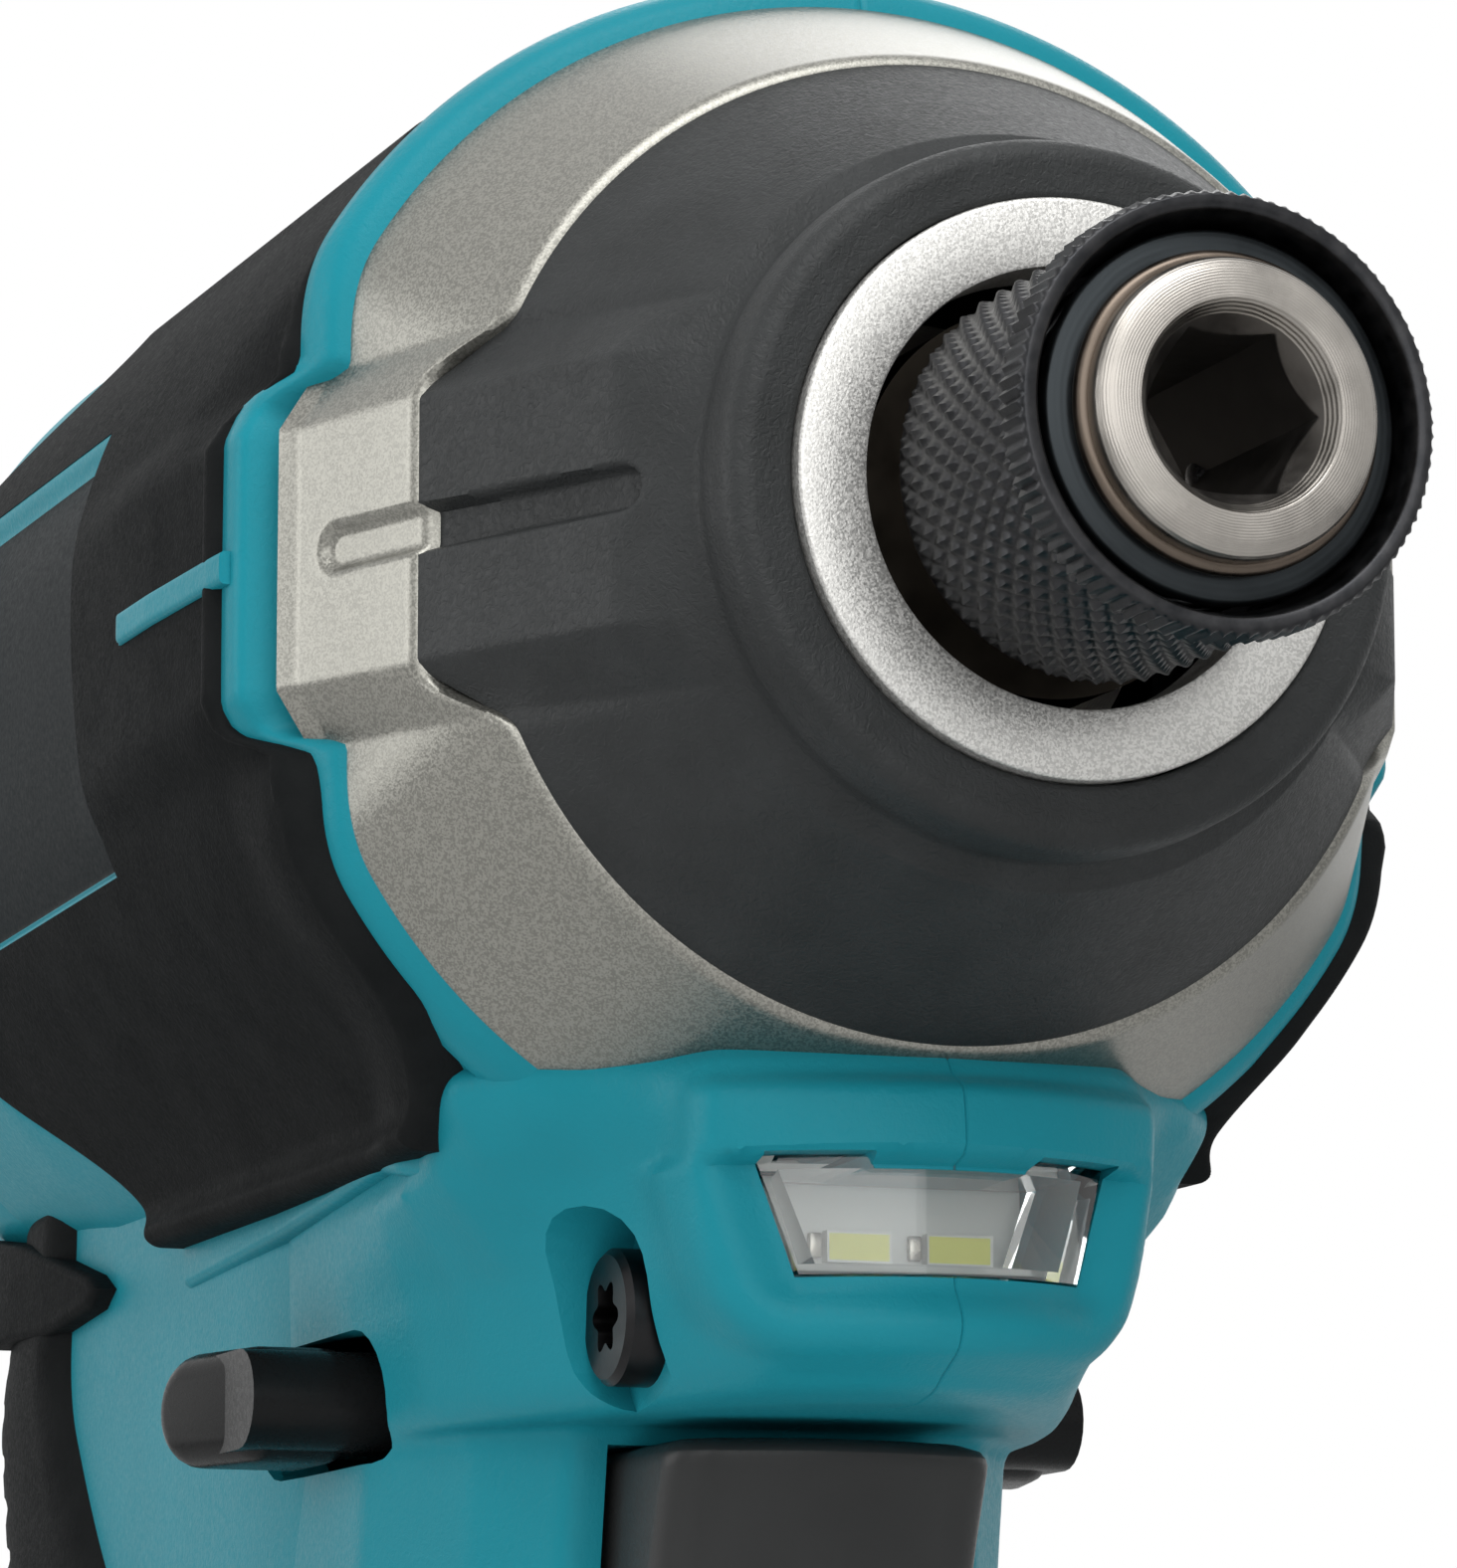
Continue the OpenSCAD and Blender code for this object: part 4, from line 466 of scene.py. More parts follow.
def sleeve_piece():
    knurl = [(1.1 + 0.2375 * i, 8.55) for i in range(50)]
    rim = [(13.0, 8.5), (13.2, 8.55), (13.35, 9.2), (15.0, 9.2), (15.2, 9.1), (15.38, 8.92),
           (15.4, 8.85), (15.4, 8.45), (15.25, 8.3), (13.6, 7.85), (6, 7.8), (6, 6.25)]
    bm = spun([(0.5, 6.25), (0.5, 8.0), (0.8, 8.35)] + knurl + rim, 400, True)
    for v in bm.verts:
        u, r = v.co.x, math.hypot(v.co.y, v.co.z)
        around = math.atan2(v.co.z, v.co.y) / (2 * math.pi)
        if r > 8.2 and 1.0 < u < 13.0:
            a, b = around * DIAMONDS, u / DIAMOND_L
            grow = DIAMOND_DEEP * min(groove_rise(a + b), groove_rise(a - b)) * ease(1.0, 1.5, u) - 0.1
        elif r > 8.9 and 13.3 < u < 15.3:
            grow = -SERRATION_DEEP * (1 - groove_rise(around * SERRATIONS)) * ease(15.4, 15.0, u)
        else:
            continue
        v.co.y *= 1 + grow / r
        v.co.z *= 1 + grow / r
    return piece(bm, "sleeve_knurled", "sleeve", ["bit_sleeve"], "sleeve_black", OXIDE, sharp=50)


sleeve_piece()

# %% [markdown]
# ## The shape of the nose
# Bumper and case share one outer form: a cone with a flat pad on each side and shallow hollows above
# and below the pad. A few small functions say where that surface lies; the turned grids of both
# pieces are then pushed onto it, the way a sculptor flattens a turned blank.

# %% Nose surface
SKIRT_END = -14.6
CONE = [(-3.4, 15.42), (-4.4, 16.0), (SKIRT_END, 22.1), (-25.5, 27.7), (-30, 28.6)]
PAD = [(-4.5, 16.9), (-6, 17.6), (-17.4, 23.0), (-28.2, 27.35)]
CHEEK = [(-9, 19.4), (SKIRT_END, 21.35), (-25.5, 24.7), (-30, 26.2)]
PAD_HALF, PAD_BEVEL = 5.8, 8.4
# Points further from the middle plane than this belong to a side of the tool
SIDE_Y = 8


def pad_edge(z):
    """1 on the pad, falling to 0 across its bevels."""
    return 1 - min(1.0, max(0.0, (abs(z) - PAD_HALF) / (PAD_BEVEL - PAD_HALF)))


def bumper_rear(z):
    """Where the rubber ends: further back on the pads."""
    return SKIRT_END - 3.6 * ease(9.4, 5.6, abs(z))


def onto_nose(u, y, z):
    """Moves a point of the plain cone sideways onto the pads and hollows."""
    side = math.copysign(1.0, y)
    reach = soft_min(abs(y), along(CHEEK, u), 1.2) if u < CHEEK[0][0] else abs(y)
    on = pad_edge(z) * ease(-4.2, -7.4, u) if abs(y) > SIDE_Y else 0.0
    return side * (reach + (along(PAD, u) - reach) * on)


# %% [markdown]
# ## Rubber bumper
# A soft collar round the nose ring, a conical skirt, and a pad with a round-ended groove on each side.
# One turned grid is fine enough for all three: its rows are drawn back along the pads, and the points
# near the middle of a pad sink to make the groove.

# %% Bumper
def bumper_piece():
    collar = [(-3.0, 12.58), (-0.75, 12.58), (-0.62, 12.72), (-0.6, 12.9)]
    collar += fine([(-0.6, 12.9), (-0.6, 14.2)], 0.25) + corner((-1.75, 14.2), 1.15, 4, 84, 9)
    collar += [(-2.3, 15.38), (-2.9, 15.4)] + corner((-4.0, 17.1), 1.75, -60, -122, 6)[1:-1]
    skirt = fine([(-5.2, 16.45), (SKIRT_END, 22.1)], 0.17)
    edge = [(-14.72, 22.02), (-14.8, 21.8), (-14.8, 20.6)]
    bm = spun(collar + skirt + edge, 720)
    for v in bm.verts:
        u, y, z = v.co
        if u > -3.2:
            continue
        r = math.hypot(y, z)
        inset = along(CONE, max(u, SKIRT_END)) - r if u < SKIRT_END - 0.01 else 0.0
        u += (bumper_rear(z) - SKIRT_END) * ease(-4.0, SKIRT_END, u)
        y = onto_nose(u, y * (r + inset) / r, z)
        if abs(v.co.y) > SIDE_Y and u < -5.5:
            from_groove = math.hypot(max(0.0, u + 7.1), z)
            y -= math.copysign(0.95 * (1 - ease(0.72, 1.12, from_groove)), y)
        if inset:
            shrink = 1 - inset / r
            y, z = y * shrink, z * shrink
        v.co = (u, y, z)
    return piece(bm, "nose_bumper_rubber", "housing", ["nose_bumper"], "black_rubber", RUBBER, sharp=60)


bumper_piece()

# %% [markdown]
# ## Hammer case and nose ring
# The case shows between bumper and housing, with a bright bevelled edge along the rubber and a short
# slot that carries on the rubber's groove. The nose ring is bare blasted metal.

# %% Case
CASE_LIFT = 0.12


def case_piece():
    skin = [(-14.2, 20.4), (-14.25, 21.9), (-14.4, 22.25), (-14.75, 22.5)]
    skin += fine([(-14.75, 22.5), (-26.5, 28.3)], 0.2) + [(-27, 27.0), (-27, 24)]
    bm = spun(skin, 720)
    for v in bm.verts:
        u, y, z = v.co
        r = math.hypot(y, z)
        drop = r - along(CONE, u) - CASE_LIFT
        u += (bumper_rear(z) - SKIRT_END) * ease(-26.5, SKIRT_END, u)
        plain = along(CONE, u) + CASE_LIFT
        y, z = y * plain / r, z * plain / r
        y = onto_nose(u, y, z)
        if abs(y) > SIDE_Y and u < -15:
            from_slot = math.hypot(max(0.0, -u - 23.2), z)
            y -= math.copysign(0.55 * (1 - ease(0.7, 1.15, from_slot)), y)
        scale = 1 + drop / math.hypot(y, z)
        v.co = (u, y * scale, z * scale)
    return piece(bm, "hammer_case_painted", "housing", ["hammer_case"], "silver_case", SILVER, sharp=60)


case_piece()
ring = [(-3.5, 9.45), (-0.2, 9.45), (-0.05, 9.5), (0, 9.65), (0, 12.3), (-0.06, 12.44), (-0.2, 12.5),
        (-3.5, 12.5)]
piece(spun(ring, 256, True), "nose_ring", "housing", ["hammer_case"], "silver_case", BLASTED, sharp=50)

# %% [markdown]
# ## Moulded walls
# A moulded wall is easiest to shape as an even grid whose points are each sent to their place, as clay
# is pressed into a form. Small helpers follow: one makes such a grid, one runs a modifier on a
# throw-away object, for the few shapes that a cut or a remesh makes best, and a few make plain blocks.

# %% Grid and modifier helpers
def moulded(across, down, place):
    """A grid of faces whose points are moved to place(s, t), both running from 0 to 1."""
    bm = bmesh.new()
    bmesh.ops.create_grid(bm, x_segments=across, y_segments=down, size=0.5)
    for v in bm.verts:
        v.co = place(v.co.x + 0.5, v.co.y + 0.5)
    return bm


def both_sides(bm):
    """Adds the mirror image across the middle plane and joins it there."""
    bmesh.ops.mirror(bm, geom=bm.verts[:] + bm.edges[:] + bm.faces[:], matrix=Matrix(), merge_dist=1e-3,
                     axis="Y")
    return outward(bm)


def capped(bm):
    """Closes the open ends of a loft."""
    bmesh.ops.holes_fill(bm, edges=[e for e in bm.edges if e.is_boundary], sides=0)
    return outward(bm)


def work_object(bm):
    mesh = bpy.data.meshes.new("work")
    bm.to_mesh(mesh)
    bm.free()
    return placed("work", mesh)


def modified(bm, kind, tool=None, **settings):
    """The bmesh after one modifier; a second bmesh is the tool of a Boolean cut."""
    work = work_object(bm)
    change = work.modifiers.new(kind, kind)
    for key, value in settings.items():
        setattr(change, key, value)
    if tool:
        change.object = work_object(tool)
    done = work.evaluated_get(bpy.context.evaluated_depsgraph_get()).to_mesh()
    out = bmesh.new()
    out.from_mesh(done)
    for made in [work] + ([change.object] if tool else []):
        mesh = made.data
        bpy.data.objects.remove(made)
        bpy.data.meshes.remove(mesh)
    return out


def cut(bm, tool):
    return modified(bm, "BOOLEAN", tool, operation="DIFFERENCE", solver="EXACT")


def prism(outline, low, high, across):
    """An outline of two coordinates drawn out along the third."""
    turn = {"x": lambda a, b, c: (c, a, b), "y": lambda a, b, c: (a, c, b),
            "z": lambda a, b, c: (a, b, c)}[across]
    bm = bmesh.new()
    face = bm.faces.new([bm.verts.new(turn(a, b, low)) for a, b in outline])
    grown = bmesh.ops.extrude_face_region(bm, geom=[face])
    bmesh.ops.translate(bm, vec=Vector(turn(0, 0, high - low)), verts=new_points(grown))
    return outward(bm)


def box(low, high):
    """A plain block between two corners."""
    (x0, y0, z0), (x1, y1, z1) = low, high
    return prism([(x0, y0), (x1, y0), (x1, y1), (x0, y1)], z0, z1, "z")


PARTING = 0.09


def parting_line(bm):
    """A fine groove where the two halves meet."""
    for y in (-PARTING, 0.0, PARTING):
        bmesh.ops.bisect_plane(bm, geom=bm.verts[:] + bm.edges[:] + bm.faces[:], plane_co=(0, y, 0),
                               plane_no=(0, 1, 0))
    bm.normal_update()
    for v in bm.verts:
        if abs(v.co.y) < 1e-4:
            v.co -= v.normal * PARTING
    return bm


def slot_outline(a, b, r, steps=10):
    """Outline of a round-ended slot between two points."""
    lean = math.atan2(b[1] - a[1], b[0] - a[0])
    ends = [(b, lean - math.pi / 2), (a, lean + math.pi / 2)]
    return [(p[0] + r * math.cos(t + math.pi * i / steps), p[1] + r * math.sin(t + math.pi * i / steps))
            for p, t in ends for i in range(steps + 1)]


# %% [markdown]
# ## Barrel of the housing
# The two plastic halves close round the case in a rounded rim, which steps back round the silver pads.
# The barrel is a turned grid as well: its first rows follow the case's own surface and rise over it as
# the rim, and the later ones ease into the barrel. Vents for the motor are cut into both sides.

# %% Barrel
BARREL_R = 28.5
RIM_AT = -24.3
BARREL = [(-24.0, 27.6), (-26, 28.4), (-30, BARREL_R), (-88, BARREL_R), (-106, 27.2)]
BARREL_CHEEK = [(RIM_AT, 25.2), (-27, 25.8), (-42, 28.6)]
BARREL_PAD = [(-28, 28.0), (-31, 28.2), (-40, BARREL_R), (-106, BARREL_R)]
RIM = [(0.4, -0.8), (0.0, 0.02), (-0.1, 0.4), (-0.35, 0.72), (-0.75, 0.9), (-1.6, 0.95), (-2.3, 0.9),
       (-2.9, 0.3), (-4.0, 0.05), (-6.0, 0.0)]


def rim_front(z):
    """Where the rim starts: further back round the pads."""
    return RIM_AT - 3.9 * ease(8.9, 6.9, abs(z))


def onto_barrel(u, y, z):
    """Moves a point of the plain barrel sideways onto its cheeks and pads."""
    side = math.copysign(1.0, y)
    reach = soft_min(abs(y), along(BARREL_CHEEK, u), 1.2)
    on = pad_edge(z) * ease(-60, -44, u) if abs(y) > SIDE_Y else 0.0
    return side * (reach + (along(BARREL_PAD, u) - reach) * on)


PANEL_TOP, PANEL_LOW = 21.5, -25.5


def panel_front(z):
    corners = 1.0 * ease(-5, -11, z) - 5.0 * ease(-19, -26, z) - 1.2 * ease(17, PANEL_TOP, z)
    return rim_front(z) - 2.1 + corners


def panel_rear(z):
    return -91 + 20 * ease(13, PANEL_TOP, z) + 16 * ease(-13, -26, z)


def panel_bed(u, z):
    """How far the barrel is sunk under the rubber of its side."""
    inside = min(panel_front(z) - u, u - panel_rear(z), PANEL_TOP - z, z - PANEL_LOW)
    return 1.7 * ease(0.9, 2.4, inside)


HALVES = ["housing_right", "housing_left"]
BLANK_R, BLANK_BORE = 20.0, 15.0
VENT_PITCH, VENT_R = 4.6, 1.1


def barrel_piece():
    rows = [(back, BLANK_R) for back, _ in RIM] + [(-7.0 - 74.7 * i / 60, BLANK_R) for i in range(61)]
    bm = spun(rows + [(-81.7, BLANK_BORE), (0.4, BLANK_BORE)], 480, True)
    for v in bm.verts:
        turn = math.atan2(v.co.z, v.co.y)
        inner = math.hypot(v.co.y, v.co.z) < BLANK_R - 1
        back = v.co.x
        u = rim_front(28.0 * math.sin(turn)) + back
        u += (RIM_AT + back - u) * ease(-4, -16, back)
        low, high = along(CONE, u) + CASE_LIFT, along(BARREL, u)
        mix = ease(-1.6, -6.0, back)
        y = onto_nose(u, low * math.cos(turn), low * math.sin(turn))
        y += (onto_barrel(u, high * math.cos(turn), high * math.sin(turn)) - y) * mix
        z = (low + (high - low) * mix) * math.sin(turn)
        bed = panel_bed(u, z) if back < -5 else 0.0
        bead = along(RIM, back) * (1 - 0.45 * ease(-5, -11, z))
        grow = 1 + (bead - bed) / math.hypot(y, z)
        v.co = (u, y * grow, z * grow) if not inner else (u, y * 0.8, z * 0.8)
    bm = parting_line(bm)
    for i in range(-2, 3):
        for side in (-1, 1):
            vent = slot_outline((-95.0, i * VENT_PITCH), (-99.5, i * VENT_PITCH), VENT_R)
            bm = cut(bm, prism(vent, side * 23.5, side * 34, "y"))
    return piece(bm, "barrel_moulded", "housing", HALVES, "teal_plastic", TEAL, sharp=50)


barrel_piece()

# %% [markdown]
# ## Rubber side panels
# Soft rubber is moulded over each side of the barrel. The grid below is laid between four edges: the
# front one follows the rim, the lower one flares out over the throat. Its points drop away over the last
# millimetre to give the rolled edge, and a raised border runs round the step of the rim.

# %% Side panels
SIDES = (("right", -1), ("left", 1))
EDGE_DROP, EDGE_R = 1.3, 1.1


def side_reach(u, z):
    """Half width of the rubber's surface: the barrel, then a flank that stands out at its foot."""
    barrel = math.sqrt(BARREL_R ** 2 - z * z)
    flank = 18.2 + 0.7 * ease(-23.2, -25.3, z)
    return abs(onto_barrel(u, -soft_min(-barrel, -flank, 4.0), z)) + 0.35


def crowded(*shares):
    """Shares from 0 to 1 that lie closer together near both ends."""
    return [0.5 - 0.5 * math.cos(math.pi * k) for k in shares]


def rolled(inside, r):
    """The rise of a rounded edge: 0 at the edge, then a quarter circle up to 1 at r inside it."""
    return math.sqrt(max(0.0, 1 - (1 - min(1.0, inside / r)) ** 2))


def closed_sheet(bm, thickness):
    """Gives an open sheet on the right side a thickness inwards."""
    skin = bmesh.ops.extrude_face_region(outward(bm), geom=bm.faces[:])
    bmesh.ops.translate(bm, vec=(0, thickness, 0), verts=new_points(skin))
    return outward(bm)


def to_side(bm, side):
    """Leaves a right-hand piece as it is, or turns it into the left-hand one."""
    if side > 0:
        bmesh.ops.scale(bm, vec=(1, -1, 1), verts=bm.verts)
        bmesh.ops.reverse_faces(bm, faces=bm.faces)
    return bm


def panel_point(s, t):
    """A point on the right side: s from front to rear, t from top to bottom."""
    s, t = crowded(s, t)
    z = PANEL_TOP + (PANEL_LOW - PANEL_TOP) * t
    front, rear = panel_front(z), panel_rear(z)
    u = front + (rear - front) * s
    inside = min(front - u, u - rear, PANEL_TOP - z, z - PANEL_LOW)
    border = 0.3 * ease(1.9, 1.4, front - u) * ease(11, 9.5, abs(z)) * ease(0, 0.5, inside)
    proud = 0.75 * ease(9, 2, front - u) * ease(-5, -11, z)
    y = side_reach(u, z) - EDGE_DROP * (1 - rolled(inside, EDGE_R)) + border + proud
    return Vector((u, -y, z))


RECESS = [(-57.3, 12.2), (-84.0, 12.2), (-84.0, -11.0), (-52.4, -10.4)]
for hand, side in SIDES:
    panel = closed_sheet(moulded(150, 120, panel_point), 2.0)
    if hand == "right":
        panel = cut(panel, prism(RECESS, -40, -10, "y"))
    piece(to_side(panel, side), f"side_rubber_painted_shade_{hand}", "housing", [f"side_panel_{hand}"], "black_rubber",
          SIDE_RUBBER_PAINTED_SHADE, sharp=40)

# %% [markdown]
# ## Chin and throat
# Below the nose the halves form a chin that holds the work lamp, and behind it a throat for the trigger.
# Both are lofts of level outlines from front to rear. A voxel remesh joins them and a few smoothing
# rounds give the soft inner corners of a mould; the crisp openings are cut afterwards.

# %% Chin and throat blank
# Each level: height, front, corner station and half width, then half widths at the stations behind it
STATIONS = [-20, -22.5, -25, -28, -31, -35, -40, -48, -58]
CHIN = [
    (-20.6, -16.6, -18.6, 8.2, [9.8, 12.0, 14.6, 16.6, 16.9, 16.6, 16.4, 16.2, 16.0]),
    (-21.9, -15.2, -17.8, 9.3, [10.9, 13.2, 15.9, 18.0, 18.0, 17.5, 17.2, 16.9, 16.4]),
    (-22.6, -14.3, -17.4, 10.1, [11.6, 13.7, 16.4, 18.6, 18.4, 17.6, 17.3, 16.9, 16.4]),
    (-23.6, -13.8, -17.35, 10.5, [11.8, 13.7, 16.2, 18.4, 18.5, 17.7, 17.4, 17.0, 16.4]),
    (-24.6, -13.55, -17.4, 10.55, [11.7, 13.3, 15.5, 17.8, 18.4, 17.7, 17.4, 17.0, 16.4]),
    (-25.8, -13.4, -17.5, 10.45, [11.3, 12.6, 14.4, 16.9, 18.2, 17.9, 17.5, 17.0, 16.4]),
    (-27.0, -13.35, -17.6, 10.25, [10.95, 11.9, 13.3, 15.6, 17.6, 18.3, 17.9, 17.2, 16.5]),
    (-29.0, -13.3, -17.6, 9.95, [10.6, 11.3, 12.3, 14.0, 15.8, 17.0, 17.3, 17.0, 16.4]),
    (-31.0, -13.3, -17.5, 9.6, [10.3, 11.0, 11.8, 13.0, 14.3, 15.6, 16.4, 16.6, 16.3]),
    (-33.0, -13.4, -17.3, 8.95, [9.8, 10.6, 11.4, 12.5, 13.6, 14.9, 15.9, 16.3, 16.2]),
    (-34.5, -13.8, -17.2, 8.2, [9.2, 10.1, 11.0, 12.1, 13.2, 14.5, 15.6, 16.2, 16.2]),
    (-35.8, -14.8, -17.6, 7.2, [8.4, 9.4, 10.4, 11.6, 12.8, 14.2, 15.4, 16.1, 16.1]),
    (-36.7, -16.2, -18.4, 6.0, [7.3, 8.5, 9.6, 10.9, 12.2, 13.7, 15.0, 15.9, 16.0]),
    (-37.1, -18.2, -19.6, 4.4, [4.9, 6.9, 8.2, 9.7, 11.2, 13.0, 14.6, 15.7, 15.9]),
]
# Each throat level: height, front, half width at the front corner
THROAT = [(-30, -35, 10.2), (-37, -35, 10.2), (-46, -36.5, 10.4), (-54, -39.5, 10.6),
          (-60, -43.5, 10.6), (-66, -47.5, 10.0)]


def path_point(path, share):
    """The point at a share of a path's length."""
    steps = [math.dist(a, b) for a, b in zip(path, path[1:])]
    left = share * sum(steps)
    for (a, b), step in zip(zip(path, path[1:]), steps):
        if left <= step:
            return tuple(p + (q - p) * left / step for p, q in zip(a, b))
        left -= step
    return path[-1]


def chin_path(level):
    _, front, corner_u, corner_y, widths = level
    bow = [(front - (front - corner_u) * (k / 6) ** 2, corner_y * k / 6) for k in range(6)]
    return bow + [(corner_u, corner_y)] + list(zip(STATIONS, widths)) + [(-62, 15.4), (-62, 0)]


def throat_path(level):
    _, front, half = level
    return [(front, 0), (front, half - 0.7), (front - 0.3, half - 0.2), (front - 0.9, half + 0.2),
            (front - 5, 13.3), (front - 13, 15.7), (-60, 15.7), (-64, 15.2), (-66, 0)]


def lofted(levels, path):
    """A closed solid through level outlines, mirrored on the middle plane."""
    count = 110
    rows = [[path_point(path(level), k / count) for k in range(count + 1)] for level in levels]

    def place(s, t):
        row = min(len(levels) - 2, int(t * (len(levels) - 1)))
        part = t * (len(levels) - 1) - row
        k = round(s * count)
        (u0, y0), (u1, y1) = rows[row][k], rows[row + 1][k]
        z = levels[row][0] + (levels[row + 1][0] - levels[row][0]) * part
        return Vector((u0 + (u1 - u0) * part, -(y0 + (y1 - y0) * part), z))

    return capped(both_sides(moulded(count, (len(levels) - 1) * 4, place)))


def joined(parts):
    """One bmesh that holds several separate ones."""
    out = bmesh.new()
    for part in parts:
        mesh = bpy.data.meshes.new("part")
        part.to_mesh(mesh)
        part.free()
        out.from_mesh(mesh)
        bpy.data.meshes.remove(mesh)
    return out


LAMP_TOP, LAMP_LOW = -26.7, -32.0
LIP_REAR = -23


def lamp_lip(y, z):
    """How far the moulding round the lamp stands proud: a brow above it, a sloping frame elsewhere."""
    half = 8.3 + 0.32 * (z - LAMP_TOP)
    across, up = 0.95 * (abs(y) - half), max(z - LAMP_TOP, LAMP_LOW - z)
    away = math.hypot(across, up) if min(across, up) > 0 else max(across, up)
    frame = 1.25 * ease(0.2, 2.0, away) - 0.5 - 0.75 * ease(2.4, 4.2, away)
    brow = 1.0 * ease(11.4, 9.6, abs(y)) * ease(-23.0, -24.3, z)
    above = ease(-27.2, -26.6, z)
    return frame + (brow - frame) * above


def chin_blank():
    bm = joined([lofted(CHIN, chin_path), lofted(THROAT, throat_path)])
    bm = modified(bm, "REMESH", mode="VOXEL", voxel_size=0.38)
    for _ in range(3):
        bmesh.ops.smooth_vert(bm, verts=bm.verts, factor=0.5, use_axis_x=True, use_axis_y=True,
                              use_axis_z=True)
    bm.normal_update()
    front = [v for v in bm.verts if v.co.x > LIP_REAR]
    moves = [v.normal * lamp_lip(v.co.y, v.co.z) * ease(LIP_REAR, -19.5, v.co.x) for v in front]
    for v, move in zip(front, moves):
        v.co += move
    return bm


# %% [markdown]
# The openings: the lamp window with its small tab, the screw recesses, the slot of the reverse lever
# and the trigger's well. Each is a plain block or a drawn-out outline, taken away by a Boolean cut.

# %% Chin openings
WINDOW = [(-8.3, LAMP_TOP), (-3.9, LAMP_TOP), (-3.5, -27.35), (3.5, -27.35), (3.9, LAMP_TOP),
          (8.3, LAMP_TOP), (6.6, LAMP_LOW), (-6.6, LAMP_LOW)]
# Screw places: along, up, and the seat's distance from the middle
SCREWS = [(-26.2, -33.0, 9.6), (-87.0, -34.0, 11), (-62.0, -76.0, 11), (-68.0, -116.0, 11),
          (-31.5, -142.6, 20), (-101.5, -142.6, 20)]


def openings(bm):
    """Cuts the trigger's well with room for its plunger, and the slot and inner room of the lever."""
    bm = cut(bm, box((-60, -8.3, -64.5), (-20, 8.3, -37.9)))
    bm = cut(bm, box((-74, -5.2, -56), (-59, 5.2, -45)))
    bm = cut(bm, prism(slot_outline((-47.6, -35.0), (-60.8, -35.0), 3.1), -26, 26, "y"))
    return cut(bm, box((-80, -12.9, -37.8), (-51, 12.9, -32.1)))


def chin_piece():
    bm = parting_line(chin_blank())
    bm = cut(bm, prism(WINDOW, -22.5, -5.0, "x"))
    bm = cut(bm, prism(slot_outline((-25.6, -31.2), (-25.9, -34.6), 3.0), -9.6, -24, "y"))
    return piece(openings(bm), "chin_moulded", "housing", HALVES, "teal_plastic", TEAL, sharp=38)


chin_piece()

# %% [markdown]
# ## Side recess and side bar
# On the right a shallow recess holds a bare dark plate in a sloping teal frame. A thin teal bar of the
# housing also shows through the rubber, in line with the groove of the pad. Both are grids laid on the
# side's own surface and given a small thickness.

# %% Recess and bar
RECESS_LIFT, RECESS_DEEP, PLATE_FROM = 0.05, 0.8, 0.77
BAR_FRONT, BAR_REAR, BAR_MID, BAR_WIDE = -29.4, -45.2, 0.1, 1.5


def recess_point(s, t):
    """A point of the recess, s from front to rear and t from top to bottom."""
    (top_front, top), (rear, top), (rear, low_rear), (low_front, low) = RECESS
    s, t = crowded(s, t)
    front = top_front + (low_front - top_front) * t
    u = front + (rear - front) * s
    foot = low + (low_rear - low) * s
    z = top + (foot - top) * t
    frame_share = min((top - z) / 1.5, (z - foot) / 0.8, (front - u) / 0.4, (u - rear) / 0.8)
    return Vector((u, -side_reach(u, z) + RECESS_LIFT + RECESS_DEEP * ease(0.0, 1.0, frame_share), z))


def in_frame(c):
    """True where the recess is still frame, not plate."""
    return -side_reach(c.x, c.z) + RECESS_LIFT + PLATE_FROM > c.y


def bar_point(s, t):
    u, z = BAR_FRONT - 15.8 * s, BAR_MID + BAR_WIDE * (t - 0.5)
    inside = min(BAR_WIDE / 2 - abs(z - BAR_MID), u - BAR_REAR)
    return Vector((u, -side_reach(u, z) - 0.12 - 0.22 * rolled(inside, 0.35), z))


def pair(make, name, node, slot, finish, sharp):
    """The same piece on the right and, mirrored, on the left."""
    for hand, side in SIDES:
        piece(to_side(make(), side), f"{name}_{hand}", "housing", [f"{node}_{hand}"], slot, finish,
              sharp=sharp)


piece(closed_sheet(moulded(110, 90, recess_point), 0.6), "label_recess_bare", "housing", ["recess_plate"],
      "dark_plate", PLATE, sharp=40, second=TEAL, where=in_frame)
pair(lambda: closed_sheet(moulded(60, 14, bar_point), 0.9), "side_bar", "housing", "teal_plastic", TEAL, 50)

# %% [markdown]
# Below each panel a small ledge of the housing carries the rubber's lower lip; its edge shows as a bright
# line. It is one more sheet on a grid: two bent lines give its lower edge and how far it stands out.

# %% Ledges
LEDGE_FRONT, LEDGE_REAR, LEDGE_TOP = -30.2, -75.2, -23.6
LEDGE = [(LEDGE_FRONT, -26.9), (-38.5, -25.6), (-56.0, -26.6), (-75.0, -27.6)]
LEDGE_Y = [(LEDGE_FRONT, 17.4), (-35, 18.5), (-40, 18.3), (-48, 17.7), (-58, 17.2), (-75.0, 16.9)]


def ledge_point(s, t):
    u = LEDGE_FRONT - 45.0 * s
    low = along(LEDGE, u)
    z = LEDGE_TOP + (low - LEDGE_TOP) * t
    inside = min(z - low, LEDGE_FRONT - u, u - LEDGE_REAR)
    return Vector((u, -along(LEDGE_Y, u) + 0.7 * (1 - rolled(inside, 0.5)), z))


pair(lambda: closed_sheet(moulded(90, 30, ledge_point), 3.0), "flank_ledge", "housing", "teal_plastic",
     TEAL, 50)

